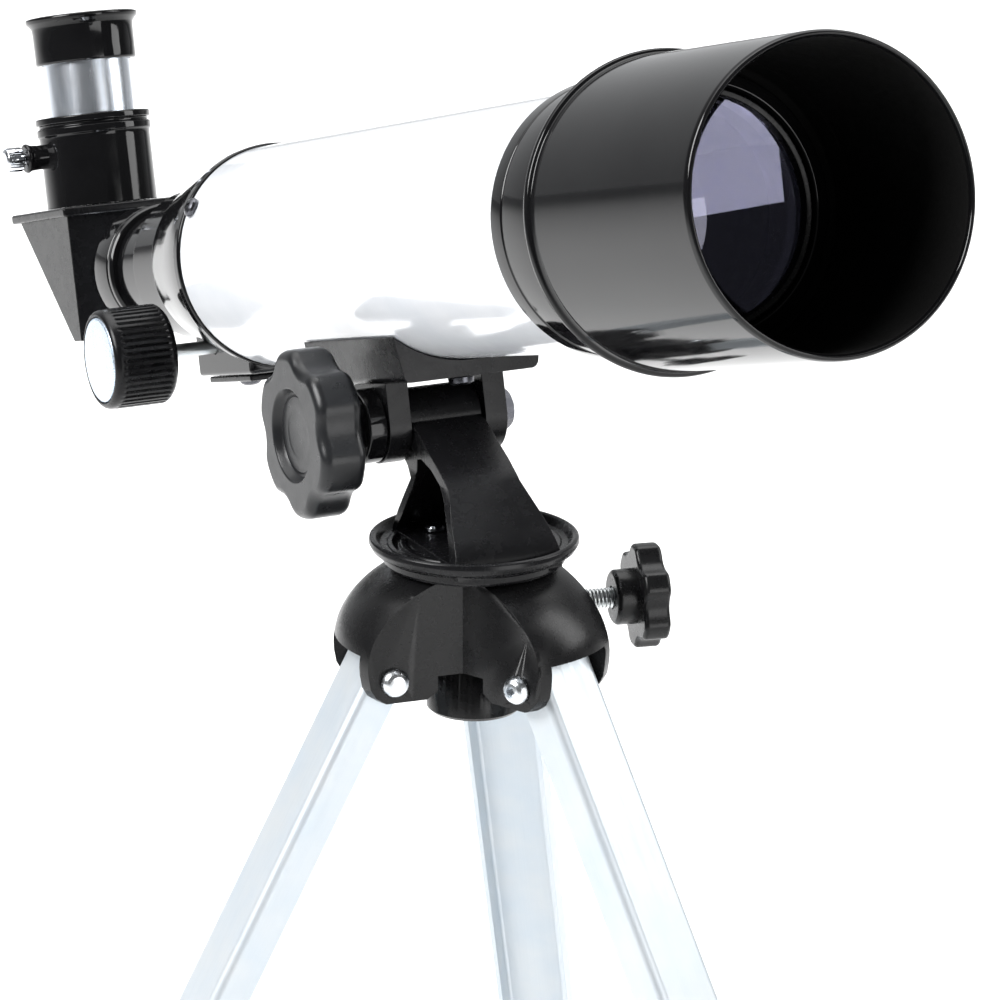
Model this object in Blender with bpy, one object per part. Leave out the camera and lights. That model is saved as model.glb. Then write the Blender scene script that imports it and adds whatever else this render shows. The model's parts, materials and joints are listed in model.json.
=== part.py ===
"""Small refracting telescope on a folding three-legged table stand.

The azimuth axis is vertical. The optical tube tilts about a cross pin in the
yoke. At rest the tube points 14.5 degrees up, with its objective towards -Y.
Lengths are written in millimetres and multiplied by MM.
"""
import math

import bmesh
import bpy

MM = 0.001
GAP = 0.3 * MM              # clearance between neighbouring solids
WELD = 0.00001              # merge distance for turned shapes

# Round shapes: how many flats stand for a circle
LARGE = 36
MEDIUM = 24
SMALL = 12

# Place of the azimuth axis over the middle of the base
AZIMUTH_X = 31.897 * MM
AZIMUTH_Y = -51.520 * MM

# Stand
LEG_COUNT = 3
FIRST_LEG_ANGLE = math.radians(-65.8)
SPLAY = math.radians(27.5)
LEG_LENGTH = 300.0 * MM
LEG_WIDTH = 18.6 * MM
LEG_WALL = 1.2 * MM
LEG_FRONT = 5.0 * MM        # outer face, measured from the hinge line
LEG_BACK = 3.8 * MM
LEG_HEAD = 5.0 * MM         # the leg's end above the hinge line
HINGE_RADIUS = 24.0 * MM
HINGE_HEIGHT = 272.5 * MM
HINGE_BELOW_RIM = 29.6 * MM
RIM_HEIGHT = HINGE_HEIGHT + HINGE_BELOW_RIM
ARM_HALF = 12.8 * MM
SLOT_HALF = 9.7 * MM
DOME_RADIUS = 33.0 * MM
DOME_HEIGHT = 23.3 * MM
DOME_CENTRE = -26.2 * MM
HUB_TOP = -7.0 * MM
BOSS_RADIUS = 11.3 * MM
BOSS_BOTTOM = -42.7 * MM
SPINDLE_RADIUS = 8.0 * MM
LOCK_HEIGHT = -18.4 * MM
LOCK_ANGLE = FIRST_LEG_ANGLE + math.radians(54.0)

# Yoke
DISC_RADIUS = 24.6 * MM
PIVOT_Y = 22.5 * MM
PIVOT_ABOVE_RIM = 22.3 * MM
BARREL_RADIUS = 7.8 * MM
NECK_HALF = 9.2 * MM
BOLT_RADIUS = 2.6 * MM

# Optical tube. Places along it are measured rearward from a point on its axis
# that lies TUBE_FORWARD in front of the tilt pin
TILT = math.radians(14.5)
TUBE_FORWARD = 9.6 * MM
AXIS_ABOVE_PIVOT = 41.7 * MM
TUBE_RADIUS = 28.0 * MM
TUBE_WALL = 1.0 * MM
SHIELD_FRONT = -190.5 * MM
SHIELD_REAR = -122.0 * MM
SHIELD_RADIUS = 32.0 * MM
SHIELD_BORE = 30.3 * MM
SPIGOT_RADIUS = 28.6 * MM
CELL_FRONT = -138.0 * MM
CELL_REAR = -97.0 * MM
TUBE_FRONT = -115.7 * MM
TUBE_REAR = 91.0 * MM
LENS_RADIUS = 25.0 * MM
LENS_CLEAR = 23.4 * MM

# Focuser
DRAW_RADIUS = 15.6 * MM
DRAW_BORE = 14.4 * MM
DRAW_FRONT = 60.0 * MM
DRAW_REAR = 172.0 * MM
CELL_END = 148.5 * MM
PINION_Y = 115.5 * MM
PINION_DROP = 21.4 * MM
PINION_PITCH = 4.2 * MM
PINION_TEETH = 12
TOOTH_ADDENDUM = 0.5 * MM
SHAFT_RADIUS = 1.8 * MM
KNOB_FACE = 43.6 * MM
KNOB_BACK = 27.2 * MM
KNOB_RADIUS = 12.8 * MM
KNOB_RIBS = 28

# Star diagonal and eyepiece
MIRROR_Y = 221.5 * MM
DIAGONAL_FRONT = 202.5 * MM
DIAGONAL_TOP = 17.0 * MM
DIAGONAL_BOTTOM = -17.5 * MM
DIAGONAL_HALF = 17.5 * MM
MIRROR_BACKING = 4.4 * MM   # outer slanted face, measured along the tube axis
BARREL_OUTSIDE = 12.25 * MM
SOCKET_RADIUS = 15.5 * MM
SOCKET_BOTTOM = 19.8 * MM
SOCKET_TOP = 45.0 * MM
THUMB_HEIGHT = 34.5 * MM
CAP_BOTTOM = 59.7 * MM
CAP_TOP = 73.0 * MM

# Altitude knob
STAR_RADIUS = 19.7 * MM
STAR_FACE = -36.4 * MM
STAR_BACK = -25.2 * MM
STAR_HUB = 5.0 * MM
LUG_INNER = 9.5 * MM
LUG_OUTER = 15.2 * MM
LUG_RADIUS = 9.2 * MM


# ---------------------------------------------------------------- helpers

def clear_scene():
    for item in list(bpy.data.objects):
        bpy.data.objects.remove(item, do_unlink=True)


def material(name, colour, roughness, metallic=0.0, transmission=0.0):
    made = bpy.data.materials.new(name)
    made.use_nodes = True
    shader = made.node_tree.nodes["Principled BSDF"]
    shader.inputs["Base Color"].default_value = (*colour, 1.0)
    shader.inputs["Roughness"].default_value = roughness
    shader.inputs["Metallic"].default_value = metallic
    shader.inputs["Transmission Weight"].default_value = transmission
    return made


def empty(name, parent=None, location=(0.0, 0.0, 0.0), rotation=(0.0, 0.0, 0.0)):
    made = bpy.data.objects.new(name, None)
    bpy.context.scene.collection.objects.link(made)
    made.parent = parent
    made.location = location
    made.rotation_euler = rotation
    return made


def finish_mesh(shape, name, smooth=True):
    bmesh.ops.recalc_face_normals(shape, faces=shape.faces)
    mesh = bpy.data.meshes.new(name)
    shape.to_mesh(mesh)
    shape.free()
    if smooth:
        mesh.shade_smooth()
        mesh.set_sharp_from_angle(angle=math.radians(35.0))
    return mesh


def place(name, mesh, finish, parent, location=(0.0, 0.0, 0.0), rotation=(0.0, 0.0, 0.0)):
    made = bpy.data.objects.new(name, mesh)
    bpy.context.scene.collection.objects.link(made)
    if finish is not None and not mesh.materials:
        mesh.materials.append(finish)
    made.parent = parent
    made.location = location
    made.rotation_euler = rotation
    return made


def turned(name, profile, steps):
    """A shape turned about Z from (radius, height) points."""
    shape = bmesh.new()
    ring = [shape.verts.new((radius, 0.0, height)) for radius, height in profile]
    on_axis = profile[0][0] == 0.0 and profile[-1][0] == 0.0
    first = 1 if on_axis else 0
    edges = [shape.edges.new((ring[i - 1], ring[i])) for i in range(first, len(ring))]
    bmesh.ops.spin(shape, geom=ring + edges, cent=(0.0, 0.0, 0.0), axis=(0.0, 0.0, 1.0),
                   angle=2.0 * math.pi, steps=steps, use_merge=True)
    bmesh.ops.remove_doubles(shape, verts=shape.verts, dist=WELD)
    return finish_mesh(shape, name)


def prism(name, outline, low, high, across="Z", smooth=False):
    """A flat outline pushed from low to high along the axis named by across."""
    axis = "XYZ".index(across)

    def corner(point, height):
        spot = list(point)
        spot.insert(axis, height)
        return spot

    shape = bmesh.new()
    face = shape.faces.new([shape.verts.new(corner(point, low)) for point in outline])
    pushed = bmesh.ops.extrude_face_region(shape, geom=[face])
    tops = [item for item in pushed["geom"] if isinstance(item, bmesh.types.BMVert)]
    shift = [0.0, 0.0, 0.0]
    shift[axis] = high - low
    bmesh.ops.translate(shape, verts=tops, vec=shift)
    return finish_mesh(shape, name, smooth)


def block(name, low, high):
    outline = [(low[0], low[1]), (high[0], low[1]), (high[0], high[1]), (low[0], high[1])]
    return prism(name, outline, low[2], high[2])


def rod(name, radius, low, high, across="Z", steps=SMALL):
    outline = arc((0.0, 0.0), radius, 0.0, 2.0 * math.pi, steps)[:-1]
    return prism(name, outline, low, high, across, smooth=True)


def arc(centre, radius, start, end, steps):
    points = []
    for i in range(steps + 1):
        angle = start + (end - start) * i / steps
        points.append((centre[0] + radius * math.cos(angle),
                       centre[1] + radius * math.sin(angle)))
    return points


def tool(name, mesh, parent, location=(0.0, 0.0, 0.0), rotation=(0.0, 0.0, 0.0)):
    made = place(name, mesh, None, parent, location, rotation)
    made.hide_render = True
    made.display_type = "WIRE"
    return made


def combine(target, cutter, operation):
    step = target.modifiers.new(operation.title(), "BOOLEAN")
    step.operation = operation
    step.solver = "EXACT"
    step.object = cutter


def soften(target, width, segments=1, limit=40.0):
    step = target.modifiers.new("Bevel", "BEVEL")
    step.width = width
    step.segments = segments
    step.limit_method = "ANGLE"
    step.angle_limit = math.radians(limit)


def fluted(name, radius, scallops, bite, reach, low, high, across):
    """A hand knob: a disc with round bites taken out of its edge.

    reach is the radius of the circle that the bites' centres lie on.
    """
    outline = []
    cos_half = (radius ** 2 + reach ** 2 - bite ** 2) / (2.0 * radius * reach)
    half = math.acos(cos_half)
    pitch = 2.0 * math.pi / scallops
    for i in range(scallops):
        middle = i * pitch
        centre = (reach * math.cos(middle), reach * math.sin(middle))
        edge = (radius * math.cos(middle - half), radius * math.sin(middle - half))
        start = math.atan2(edge[1] - centre[1], edge[0] - centre[0])
        back = middle + math.pi
        spread = (start - back + math.pi) % (2.0 * math.pi) - math.pi
        outline += arc(centre, bite, back + spread, back - spread, 4)[:-1]
        outline += arc((0.0, 0.0), radius, middle + half, middle + pitch - half, 3)[:-1]
    return prism(name, outline, low, high, across)


# ---------------------------------------------------------------- finishes

def finishes():
    return {
        "black": material("black_plastic", (0.022, 0.022, 0.024), 0.32),
        "matt": material("matt_black", (0.012, 0.012, 0.012), 0.8),
        "casting": material("grey_black_casting", (0.05, 0.05, 0.055), 0.5),
        "white": material("white_enamel", (0.86, 0.87, 0.88), 0.18),
        "chrome": material("chrome", (0.8, 0.81, 0.83), 0.1, 1.0),
        "steel": material("steel", (0.62, 0.62, 0.63), 0.3, 1.0),
        "alloy": material("anodised_alloy", (0.82, 0.83, 0.85), 0.35, 1.0),
        "rubber": material("rubber", (0.02, 0.02, 0.02), 0.9),
        "glass": material("coated_glass", (0.75, 0.75, 0.95), 0.02, 0.0, 0.9),
        "mirror": material("mirror", (0.9, 0.9, 0.9), 0.02, 1.0),
    }


# ---------------------------------------------------------------- stand

def add_hub(top, looks):
    curve = []
    start = math.asin((HUB_TOP - DOME_CENTRE) / DOME_HEIGHT)
    for i in range(7):
        angle = start * (1.0 - i / 6.0)
        curve.append((DOME_RADIUS * math.cos(angle), DOME_CENTRE + DOME_HEIGHT * math.sin(angle)))
    profile = [(0.0, HUB_TOP)] + curve + [
        (32.4 * MM, -31.0 * MM), (29.4 * MM, -34.8 * MM), (20.5 * MM, -34.8 * MM),
        (18.6 * MM, -33.0 * MM), (18.6 * MM, -29.4 * MM), (0.0, -29.4 * MM)]
    dome = tool("tool_dome", turned("tool_dome", profile, LARGE), top)

    far = 40.0 * MM
    arm = [(0.0, -ARM_HALF), (far, -ARM_HALF), (far, ARM_HALF), (0.0, ARM_HALF)]
    hub = place("tripod_hub", prism("tripod_hub", arm, -50.0 * MM, 0.0), looks["casting"], top,
                rotation=(0.0, 0.0, FIRST_LEG_ANGLE))
    for i in range(1, LEG_COUNT):
        angle = FIRST_LEG_ANGLE + i * 2.0 * math.pi / LEG_COUNT
        other = tool(f"tool_arm_{i}", prism("tool_arm", arm, -50.0 * MM, 0.0), top,
                     rotation=(0.0, 0.0, angle))
        combine(hub, other, "UNION")
    combine(hub, dome, "INTERSECT")
    boss_profile = [(0.0, -28.0 * MM), (BOSS_RADIUS, -28.0 * MM), (BOSS_RADIUS, BOSS_BOTTOM + MM),
                    (BOSS_RADIUS - MM, BOSS_BOTTOM), (0.0, BOSS_BOTTOM)]
    combine(hub, tool("tool_boss", turned("tool_boss", boss_profile, MEDIUM), top), "UNION")

    for i in range(LEG_COUNT):
        angle = FIRST_LEG_ANGLE + i * 2.0 * math.pi / LEG_COUNT
        turn = (0.0, 0.0, angle)
        slot_outline = [(14.6 * MM, -60.0 * MM), (far, -60.0 * MM), (far, -23.4 * MM),
                        (30.0 * MM, -23.4 * MM), (30.0 * MM, -21.3 * MM), (14.6 * MM, -21.3 * MM)]
        slot = prism("tool_slot", slot_outline, -SLOT_HALF, SLOT_HALF, "Y")
        combine(hub, tool(f"tool_slot_{i}", slot, top, rotation=turn), "DIFFERENCE")
        hole = rod("tool_hinge_hole", 2.6 * MM, -20.0 * MM, 20.0 * MM, "Y")
        spot = (HINGE_RADIUS * math.cos(angle), HINGE_RADIUS * math.sin(angle), -HINGE_BELOW_RIM)
        combine(hub, tool(f"tool_hinge_hole_{i}", hole, top, spot, turn), "DIFFERENCE")

    bore = rod("tool_bore", SPINDLE_RADIUS + GAP, -40.0 * MM, 5.0 * MM, "Z", MEDIUM)
    combine(hub, tool("tool_bore", bore, top), "DIFFERENCE")
    lock = rod("tool_lock_hole", 2.7 * MM, 0.0, 30.0 * MM, "X")
    combine(hub, tool("tool_lock_hole", lock, top, (0.0, 0.0, LOCK_HEIGHT), (0.0, 0.0, LOCK_ANGLE)),
            "DIFFERENCE")


def channel_outline():
    """The leg's U section: closed face towards +X, open side towards -X."""
    half = LEG_WIDTH / 2.0
    outer = 2.2 * MM
    inner = outer - LEG_WALL
    near = LEG_FRONT - outer
    side = half - outer
    outline = [(-LEG_BACK, -half)]
    outline += arc((near, -side), outer, -math.pi / 2.0, 0.0, 4)
    outline += arc((near, side), outer, 0.0, math.pi / 2.0, 4)
    outline += [(-LEG_BACK, half), (-LEG_BACK, half - LEG_WALL)]
    outline += arc((near, side), inner, math.pi / 2.0, 0.0, 3)
    outline += arc((near, -side), inner, 0.0, -math.pi / 2.0, 3)
    outline += [(-LEG_BACK, LEG_WALL - half)]
    return outline


def add_leg(letter, index, base, ground, looks):
    angle = FIRST_LEG_ANGLE + index * 2.0 * math.pi / LEG_COUNT
    spot = (HINGE_RADIUS * math.cos(angle), HINGE_RADIUS * math.sin(angle), HINGE_HEIGHT)
    hinge = empty(f"hinge_{letter}", base, spot, (0.0, 0.0, angle))
    swing = empty(f"swing_{letter}", hinge, rotation=(0.0, -SPLAY, 0.0))

    leg = place(f"leg_{letter}", prism("leg", channel_outline(), -LEG_LENGTH, LEG_HEAD, smooth=True),
                looks["alloy"], swing)
    hole = rod("tool_leg_hole", 2.6 * MM, -15.0 * MM, 15.0 * MM, "Y")
    combine(leg, tool(f"tool_leg_hole_{letter}", hole, swing), "DIFFERENCE")

    sleeve = 1.3 * MM
    half = LEG_WIDTH / 2.0 + GAP
    low = (-LEG_BACK - GAP - sleeve, -half - sleeve, -LEG_LENGTH - 30.0 * MM)
    high = (LEG_FRONT + GAP + sleeve, half + sleeve, -LEG_LENGTH + 14.0 * MM)
    foot = place(f"foot_{letter}", block("foot", low, high), looks["rubber"], swing)
    soften(foot, 1.5 * MM, 2)
    pocket = block("tool_pocket", (-LEG_BACK - GAP, -half, -LEG_LENGTH - GAP),
                   (LEG_FRONT + GAP, half, -LEG_LENGTH + 40.0 * MM))
    combine(foot, tool(f"tool_pocket_{letter}", pocket, swing), "DIFFERENCE")
    combine(foot, ground, "DIFFERENCE")

    # Dome-headed hinge screw with a socket, its head on the side that is turned clockwise
    facing = -1.0 if index == 0 else 1.0
    face = ARM_HALF + GAP / 2.0
    profile = [(0.0, -face - 3.2 * MM), (2.4 * MM, -face - 3.2 * MM), (2.4 * MM, face),
               (3.4 * MM, face), (3.4 * MM, face + 1.4 * MM), (2.9 * MM, face + 2.2 * MM),
               (1.6 * MM, face + 2.6 * MM), (1.5 * MM, face + 1.2 * MM), (0.0, face + 1.2 * MM)]
    quarter = (-math.pi / 2.0 * facing, 0.0, 0.0)
    place(f"hinge_screw_{letter}", turned("hinge_screw", profile, SMALL), looks["steel"], hinge,
          rotation=quarter)
    nut_outline = arc((0.0, 0.0), 4.2 * MM, 0.0, 2.0 * math.pi, 6)[:-1]
    nut = place(f"hinge_nut_{letter}", prism("hinge_nut", nut_outline, -face - 2.8 * MM, -face),
                looks["steel"], hinge, rotation=quarter)
    thread = rod("tool_thread", 2.4 * MM + GAP, -20.0 * MM, 20.0 * MM)
    combine(nut, tool(f"tool_thread_{letter}", thread, hinge, rotation=quarter), "DIFFERENCE")


def add_azimuth_lock(top, looks):
    lock = empty("azimuth_lock_axis", top, (0.0, 0.0, LOCK_HEIGHT), (0.0, 0.0, LOCK_ANGLE))
    knob = place("azimuth_knob", fluted("azimuth_knob", 12.6 * MM, 6, 6.0 * MM, 16.4 * MM,
                                        38.4 * MM, 44.8 * MM, "X"), looks["casting"], lock)
    soften(knob, 1.0 * MM, 1, 40.0)
    hub = rod("tool_knob_hub", 6.6 * MM, 33.4 * MM, 39.6 * MM, "X", MEDIUM)
    combine(knob, tool("tool_knob_hub", hub, lock), "UNION")
    seat = rod("tool_knob_seat", 2.5 * MM + GAP, 20.0 * MM, 42.0 * MM, "X")
    combine(knob, tool("tool_knob_seat", seat, lock), "DIFFERENCE")
    place("azimuth_bolt", rod("azimuth_bolt", 2.5 * MM, 7.4 * MM, 41.7 * MM, "X"), looks["steel"], lock)


def add_yoke(top, looks):
    disc = [(0.0, -6.5 * MM), (20.6 * MM, -6.5 * MM), (21.4 * MM, -5.7 * MM), (21.6 * MM, -4.2 * MM),
            (23.9 * MM, -2.9 * MM), (DISC_RADIUS, -1.5 * MM), (24.4 * MM, -0.4 * MM), (23.7 * MM, 0.0),
            (22.9 * MM, -0.4 * MM), (21.9 * MM, -2.0 * MM), (17.6 * MM, -2.6 * MM),
            (17.2 * MM, -1.9 * MM), (16.0 * MM, -1.9 * MM), (15.6 * MM, -2.6 * MM), (0.0, -2.8 * MM)]
    yoke = place("yoke", turned("yoke", disc, LARGE), looks["casting"], top)

    pin = (PIVOT_Y, PIVOT_ABOVE_RIM)
    side = [(-19.3 * MM, -4.5 * MM), (-18.0 * MM, 0.0), (-11.8 * MM, 7.0 * MM), (-8.4 * MM, 11.0 * MM),
            (-4.6 * MM, 14.2 * MM), (0.4 * MM, 17.0 * MM), (6.0 * MM, 19.6 * MM)]
    side += arc(pin, BARREL_RADIUS, math.radians(168.0), math.radians(-110.0), 14)
    side += [(13.8 * MM, 11.0 * MM), (15.4 * MM, 3.5 * MM), (17.0 * MM, -4.5 * MM)]
    wide = 13.4 * MM
    neck = tool("tool_neck", prism("tool_neck", side, -wide, wide, "X"), top)
    front = [(-wide, -4.5 * MM), (-wide, -1.0 * MM), (-11.4 * MM, 7.0 * MM), (-NECK_HALF, 13.2 * MM),
             (-NECK_HALF, 40.0 * MM), (NECK_HALF, 40.0 * MM), (NECK_HALF, 13.2 * MM),
             (11.4 * MM, 7.0 * MM), (wide, -1.0 * MM), (wide, -4.5 * MM)]
    taper = prism("tool_taper", front, -40.0 * MM, 40.0 * MM, "Y")
    combine(neck, tool("tool_taper", taper, top), "INTERSECT")
    hollow = [(-15.0 * MM, -1.4 * MM), (-9.6 * MM, 6.2 * MM), (-5.8 * MM, 9.8 * MM), (-1.6 * MM, 12.6 * MM),
              (4.0 * MM, 15.4 * MM), (11.4 * MM, 16.6 * MM), (11.2 * MM, 9.0 * MM), (14.4 * MM, -1.4 * MM)]
    pocket = prism("tool_hollow", hollow, -20.0 * MM, 5.6 * MM, "X")
    combine(neck, tool("tool_hollow", pocket, top), "DIFFERENCE")
    combine(yoke, neck, "UNION")
    hole = rod("tool_pin_hole", BOLT_RADIUS + 0.15 * MM, -20.0 * MM, 20.0 * MM, "X", MEDIUM)
    combine(yoke, tool("tool_pin_hole", hole, top, (0.0, *pin)), "DIFFERENCE")

    screw = [(0.0, -1.1 * MM), (2.6 * MM, -1.1 * MM), (2.6 * MM, -0.2 * MM), (1.6 * MM, 0.5 * MM),
             (0.5 * MM, 0.6 * MM), (0.5 * MM, 0.0), (0.0, 0.0)]
    place("yoke_screw", turned("yoke_screw", screw, SMALL), looks["steel"], top, (-5.4 * MM, 10.2 * MM, 0.0))

    spindle = [(0.0, -6.8 * MM), (SPINDLE_RADIUS, -6.8 * MM), (SPINDLE_RADIUS, -15.4 * MM),
               (6.9 * MM, -16.0 * MM), (6.9 * MM, -20.8 * MM), (SPINDLE_RADIUS, -21.4 * MM),
               (SPINDLE_RADIUS, -38.6 * MM), (7.2 * MM, -39.4 * MM), (0.0, -39.4 * MM)]
    place("azimuth_spindle", turned("azimuth_spindle", spindle, MEDIUM), looks["steel"], top)


# ---------------------------------------------------------------- tilt head

def add_saddle(head, looks):
    half = 18.8 * MM
    foot = 17.2 * MM
    low = 9.6 * MM
    corner = 2.0 * MM
    outline = [(-half, 30.0 * MM), (-half, 20.0 * MM)]
    outline += arc((-foot + corner, low + corner), corner, math.radians(188.0), 1.5 * math.pi, 4)
    outline += arc((foot - corner, low + corner), corner, -0.5 * math.pi, math.radians(-8.0), 4)
    outline += [(half, 20.0 * MM), (half, 30.0 * MM)]
    saddle = place("saddle", prism("saddle", outline, -25.1 * MM, 28.5 * MM, "Y"), looks["black"], head)
    for side in (-1.0, 1.0):
        lug = [(-LUG_RADIUS, 12.0 * MM)]
        lug += arc((0.0, 0.0), LUG_RADIUS, math.pi, 2.0 * math.pi, 14)
        lug += [(LUG_RADIUS, 12.0 * MM)]
        low_x, high_x = sorted((side * LUG_INNER, side * LUG_OUTER))
        shape = prism("tool_lug", lug, low_x, high_x, "X")
        combine(saddle, tool(f"tool_lug_{'left' if side < 0.0 else 'right'}", shape, head), "UNION")
    cradle = rod("tool_cradle", TUBE_RADIUS + GAP, -60.0 * MM, 60.0 * MM, "Y", LARGE)
    combine(saddle, tool("tool_cradle", cradle, head, (0.0, 0.0, AXIS_ABOVE_PIVOT)), "DIFFERENCE")
    hole = rod("tool_lug_hole", BOLT_RADIUS + GAP, -30.0 * MM, 30.0 * MM, "X", MEDIUM)
    combine(saddle, tool("tool_lug_hole", hole, head), "DIFFERENCE")

    screw = [(0.0, 0.7 * MM), (1.2 * MM, 0.7 * MM), (1.8 * MM, 0.0), (2.9 * MM, 0.5 * MM),
             (3.1 * MM, 1.8 * MM), (0.0, 1.8 * MM)]
    for name, spot in (("saddle_screw_front", -18.5 * MM), ("saddle_screw_rear", 20.5 * MM)):
        place(name, turned("saddle_screw", screw, SMALL), looks["steel"], head,
              (0.0, spot, low - GAP - 1.8 * MM))


def add_altitude_knob(head, looks):
    knob = place("altitude_knob", fluted("altitude_knob", STAR_RADIUS, 6, 10.4 * MM, 27.2 * MM,
                                         STAR_FACE, STAR_BACK, "X"), looks["casting"], head)
    soften(knob, 1.6 * MM, 2, 40.0)
    dish = [(0.0, STAR_FACE - 2.0 * MM), (11.2 * MM, STAR_FACE - 2.0 * MM), (10.6 * MM, STAR_FACE),
            (9.8 * MM, STAR_FACE + 2.2 * MM), (0.0, STAR_FACE + 2.6 * MM)]
    hub = rod("tool_star_hub", STAR_HUB, STAR_BACK - MM, -17.6 * MM, "X", MEDIUM)
    combine(knob, tool("tool_star_hub", hub, head), "UNION")
    quarter = (0.0, math.pi / 2.0, 0.0)
    combine(knob, tool("tool_dish", turned("tool_dish", dish, MEDIUM), head, rotation=quarter), "DIFFERENCE")
    seat = rod("tool_star_seat", BOLT_RADIUS + GAP, -31.0 * MM, 0.0, "X", MEDIUM)
    combine(knob, tool("tool_star_seat", seat, head), "DIFFERENCE")

    end = -LUG_OUTER - GAP
    spacer = [(BOLT_RADIUS + GAP, end), (BOLT_RADIUS + GAP, end - 1.2 * MM), (STAR_HUB + MM, end - 1.2 * MM),
              (STAR_HUB + 1.2 * MM, end - 4.8 * MM), (8.4 * MM, end - 4.8 * MM), (8.8 * MM, end - 4.2 * MM),
              (8.8 * MM, end)]
    place("altitude_spacer", turned("altitude_spacer", spacer, MEDIUM), looks["black"], head, rotation=quarter)
    place("altitude_bolt", rod("altitude_bolt", BOLT_RADIUS, -30.6 * MM, 20.4 * MM, "X", MEDIUM),
          looks["steel"], head)
    hexagon = arc((0.0, 0.0), 5.0 * MM, 0.0, 2.0 * math.pi, 6)[:-1]
    nut = place("altitude_nut", prism("altitude_nut", hexagon, LUG_OUTER + GAP, 19.3 * MM, "X"),
                looks["steel"], head)
    thread = rod("tool_nut_thread", BOLT_RADIUS + GAP, 0.0, 30.0 * MM, "X", MEDIUM)
    combine(nut, tool("tool_nut_thread", thread, head), "DIFFERENCE")


# ---------------------------------------------------------------- optical tube

REARWARD = (-math.pi / 2.0, 0.0, 0.0)       # turned shapes' height runs rearward


def on_axis(name, profile, finish, optics, steps=LARGE):
    points = [(radius * MM, height * MM) for radius, height in profile]
    return place(name, turned(name, points, steps), finish, optics, rotation=REARWARD)


def sag(radius, curvature):
    """Depth of a spherical surface at a distance from its axis."""
    return curvature - math.sqrt(curvature ** 2 - radius ** 2)


def lens_face(vertex, curvature, radius, steps=3):
    """Points from the axis to the edge; a positive curvature bulges forward."""
    points = []
    for i in range(steps + 1):
        reach = radius * i / steps
        depth = math.copysign(sag(reach, abs(curvature)), curvature)
        points.append((reach, vertex + depth))
    return points


def add_front(optics, looks):
    radius = SHIELD_RADIUS / MM
    bore = SHIELD_BORE / MM
    spigot = SPIGOT_RADIUS / MM
    front = SHIELD_FRONT / MM
    rear = SHIELD_REAR / MM
    on_axis("dew_shield", [
        (bore, front + 1.4), (bore + 0.35, front + 0.4), (radius - 0.9, front), (radius - 0.3, front + 0.5),
        (radius, front + 1.5), (radius + 1.0, rear - 2.2), (radius + 1.9, rear - 1.8),
        (radius + 2.1, rear - 1.2), (radius + 2.0, rear - 0.4), (radius + 1.4, rear),
        (spigot + 0.3, rear), (spigot + 0.3, rear - 14.5), (bore, rear - 15.6)], looks["black"], optics)
    front = CELL_FRONT / MM
    rear = CELL_REAR / MM
    seat = LENS_RADIUS / MM + 0.3
    tube = TUBE_RADIUS / MM + 0.3
    on_axis("objective_cell", [
        (seat, front + 0.5), (seat + 0.5, front), (spigot - 0.5, front), (spigot, front + 0.5),
        (spigot, -121.4), (spigot + 1.2, -121.2), (spigot + 1.2, rear - 1.0), (spigot + 0.6, rear),
        (tube, rear), (tube, -116.0), (23.2, -116.0), (23.2, -124.7), (seat, -124.7)],
        looks["black"], optics)
    clear = LENS_CLEAR / MM
    on_axis("lens_retainer", [
        (clear, -134.9), (clear + 0.2, -137.1), (seat - 0.6, -137.4), (seat - 0.3, -137.1),
        (seat - 0.3, -134.3), (clear + 0.6, -134.3)], looks["matt"], optics)

    edge = LENS_RADIUS / MM
    crown_front = lens_face(-135.9, 158.0, edge)
    crown_rear = lens_face(-128.6, -150.0, edge)
    on_axis("lens_crown", crown_front + crown_rear[::-1], looks["glass"], optics)
    flint_front = lens_face(-128.3, -150.0, edge)
    flint_rear = lens_face(-125.4, 900.0, edge)
    on_axis("lens_flint", flint_front + flint_rear[::-1], looks["glass"], optics)

    outer = TUBE_RADIUS / MM
    inner = outer - TUBE_WALL / MM
    ends = (TUBE_FRONT / MM, TUBE_REAR / MM)
    on_axis("main_tube", [
        (inner, ends[0]), (outer, ends[0]), (outer, ends[1] - 0.4), (outer - 0.3, ends[1]),
        (inner, ends[1])], looks["white"], optics)
    on_axis("tube_baffle", [
        (18.0, -20.0), (inner - 0.3, -20.0), (inner - 0.3, -12.0), (inner - 1.3, -12.0),
        (inner - 1.3, -18.8), (18.4, -18.8)], looks["matt"], optics)


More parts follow.
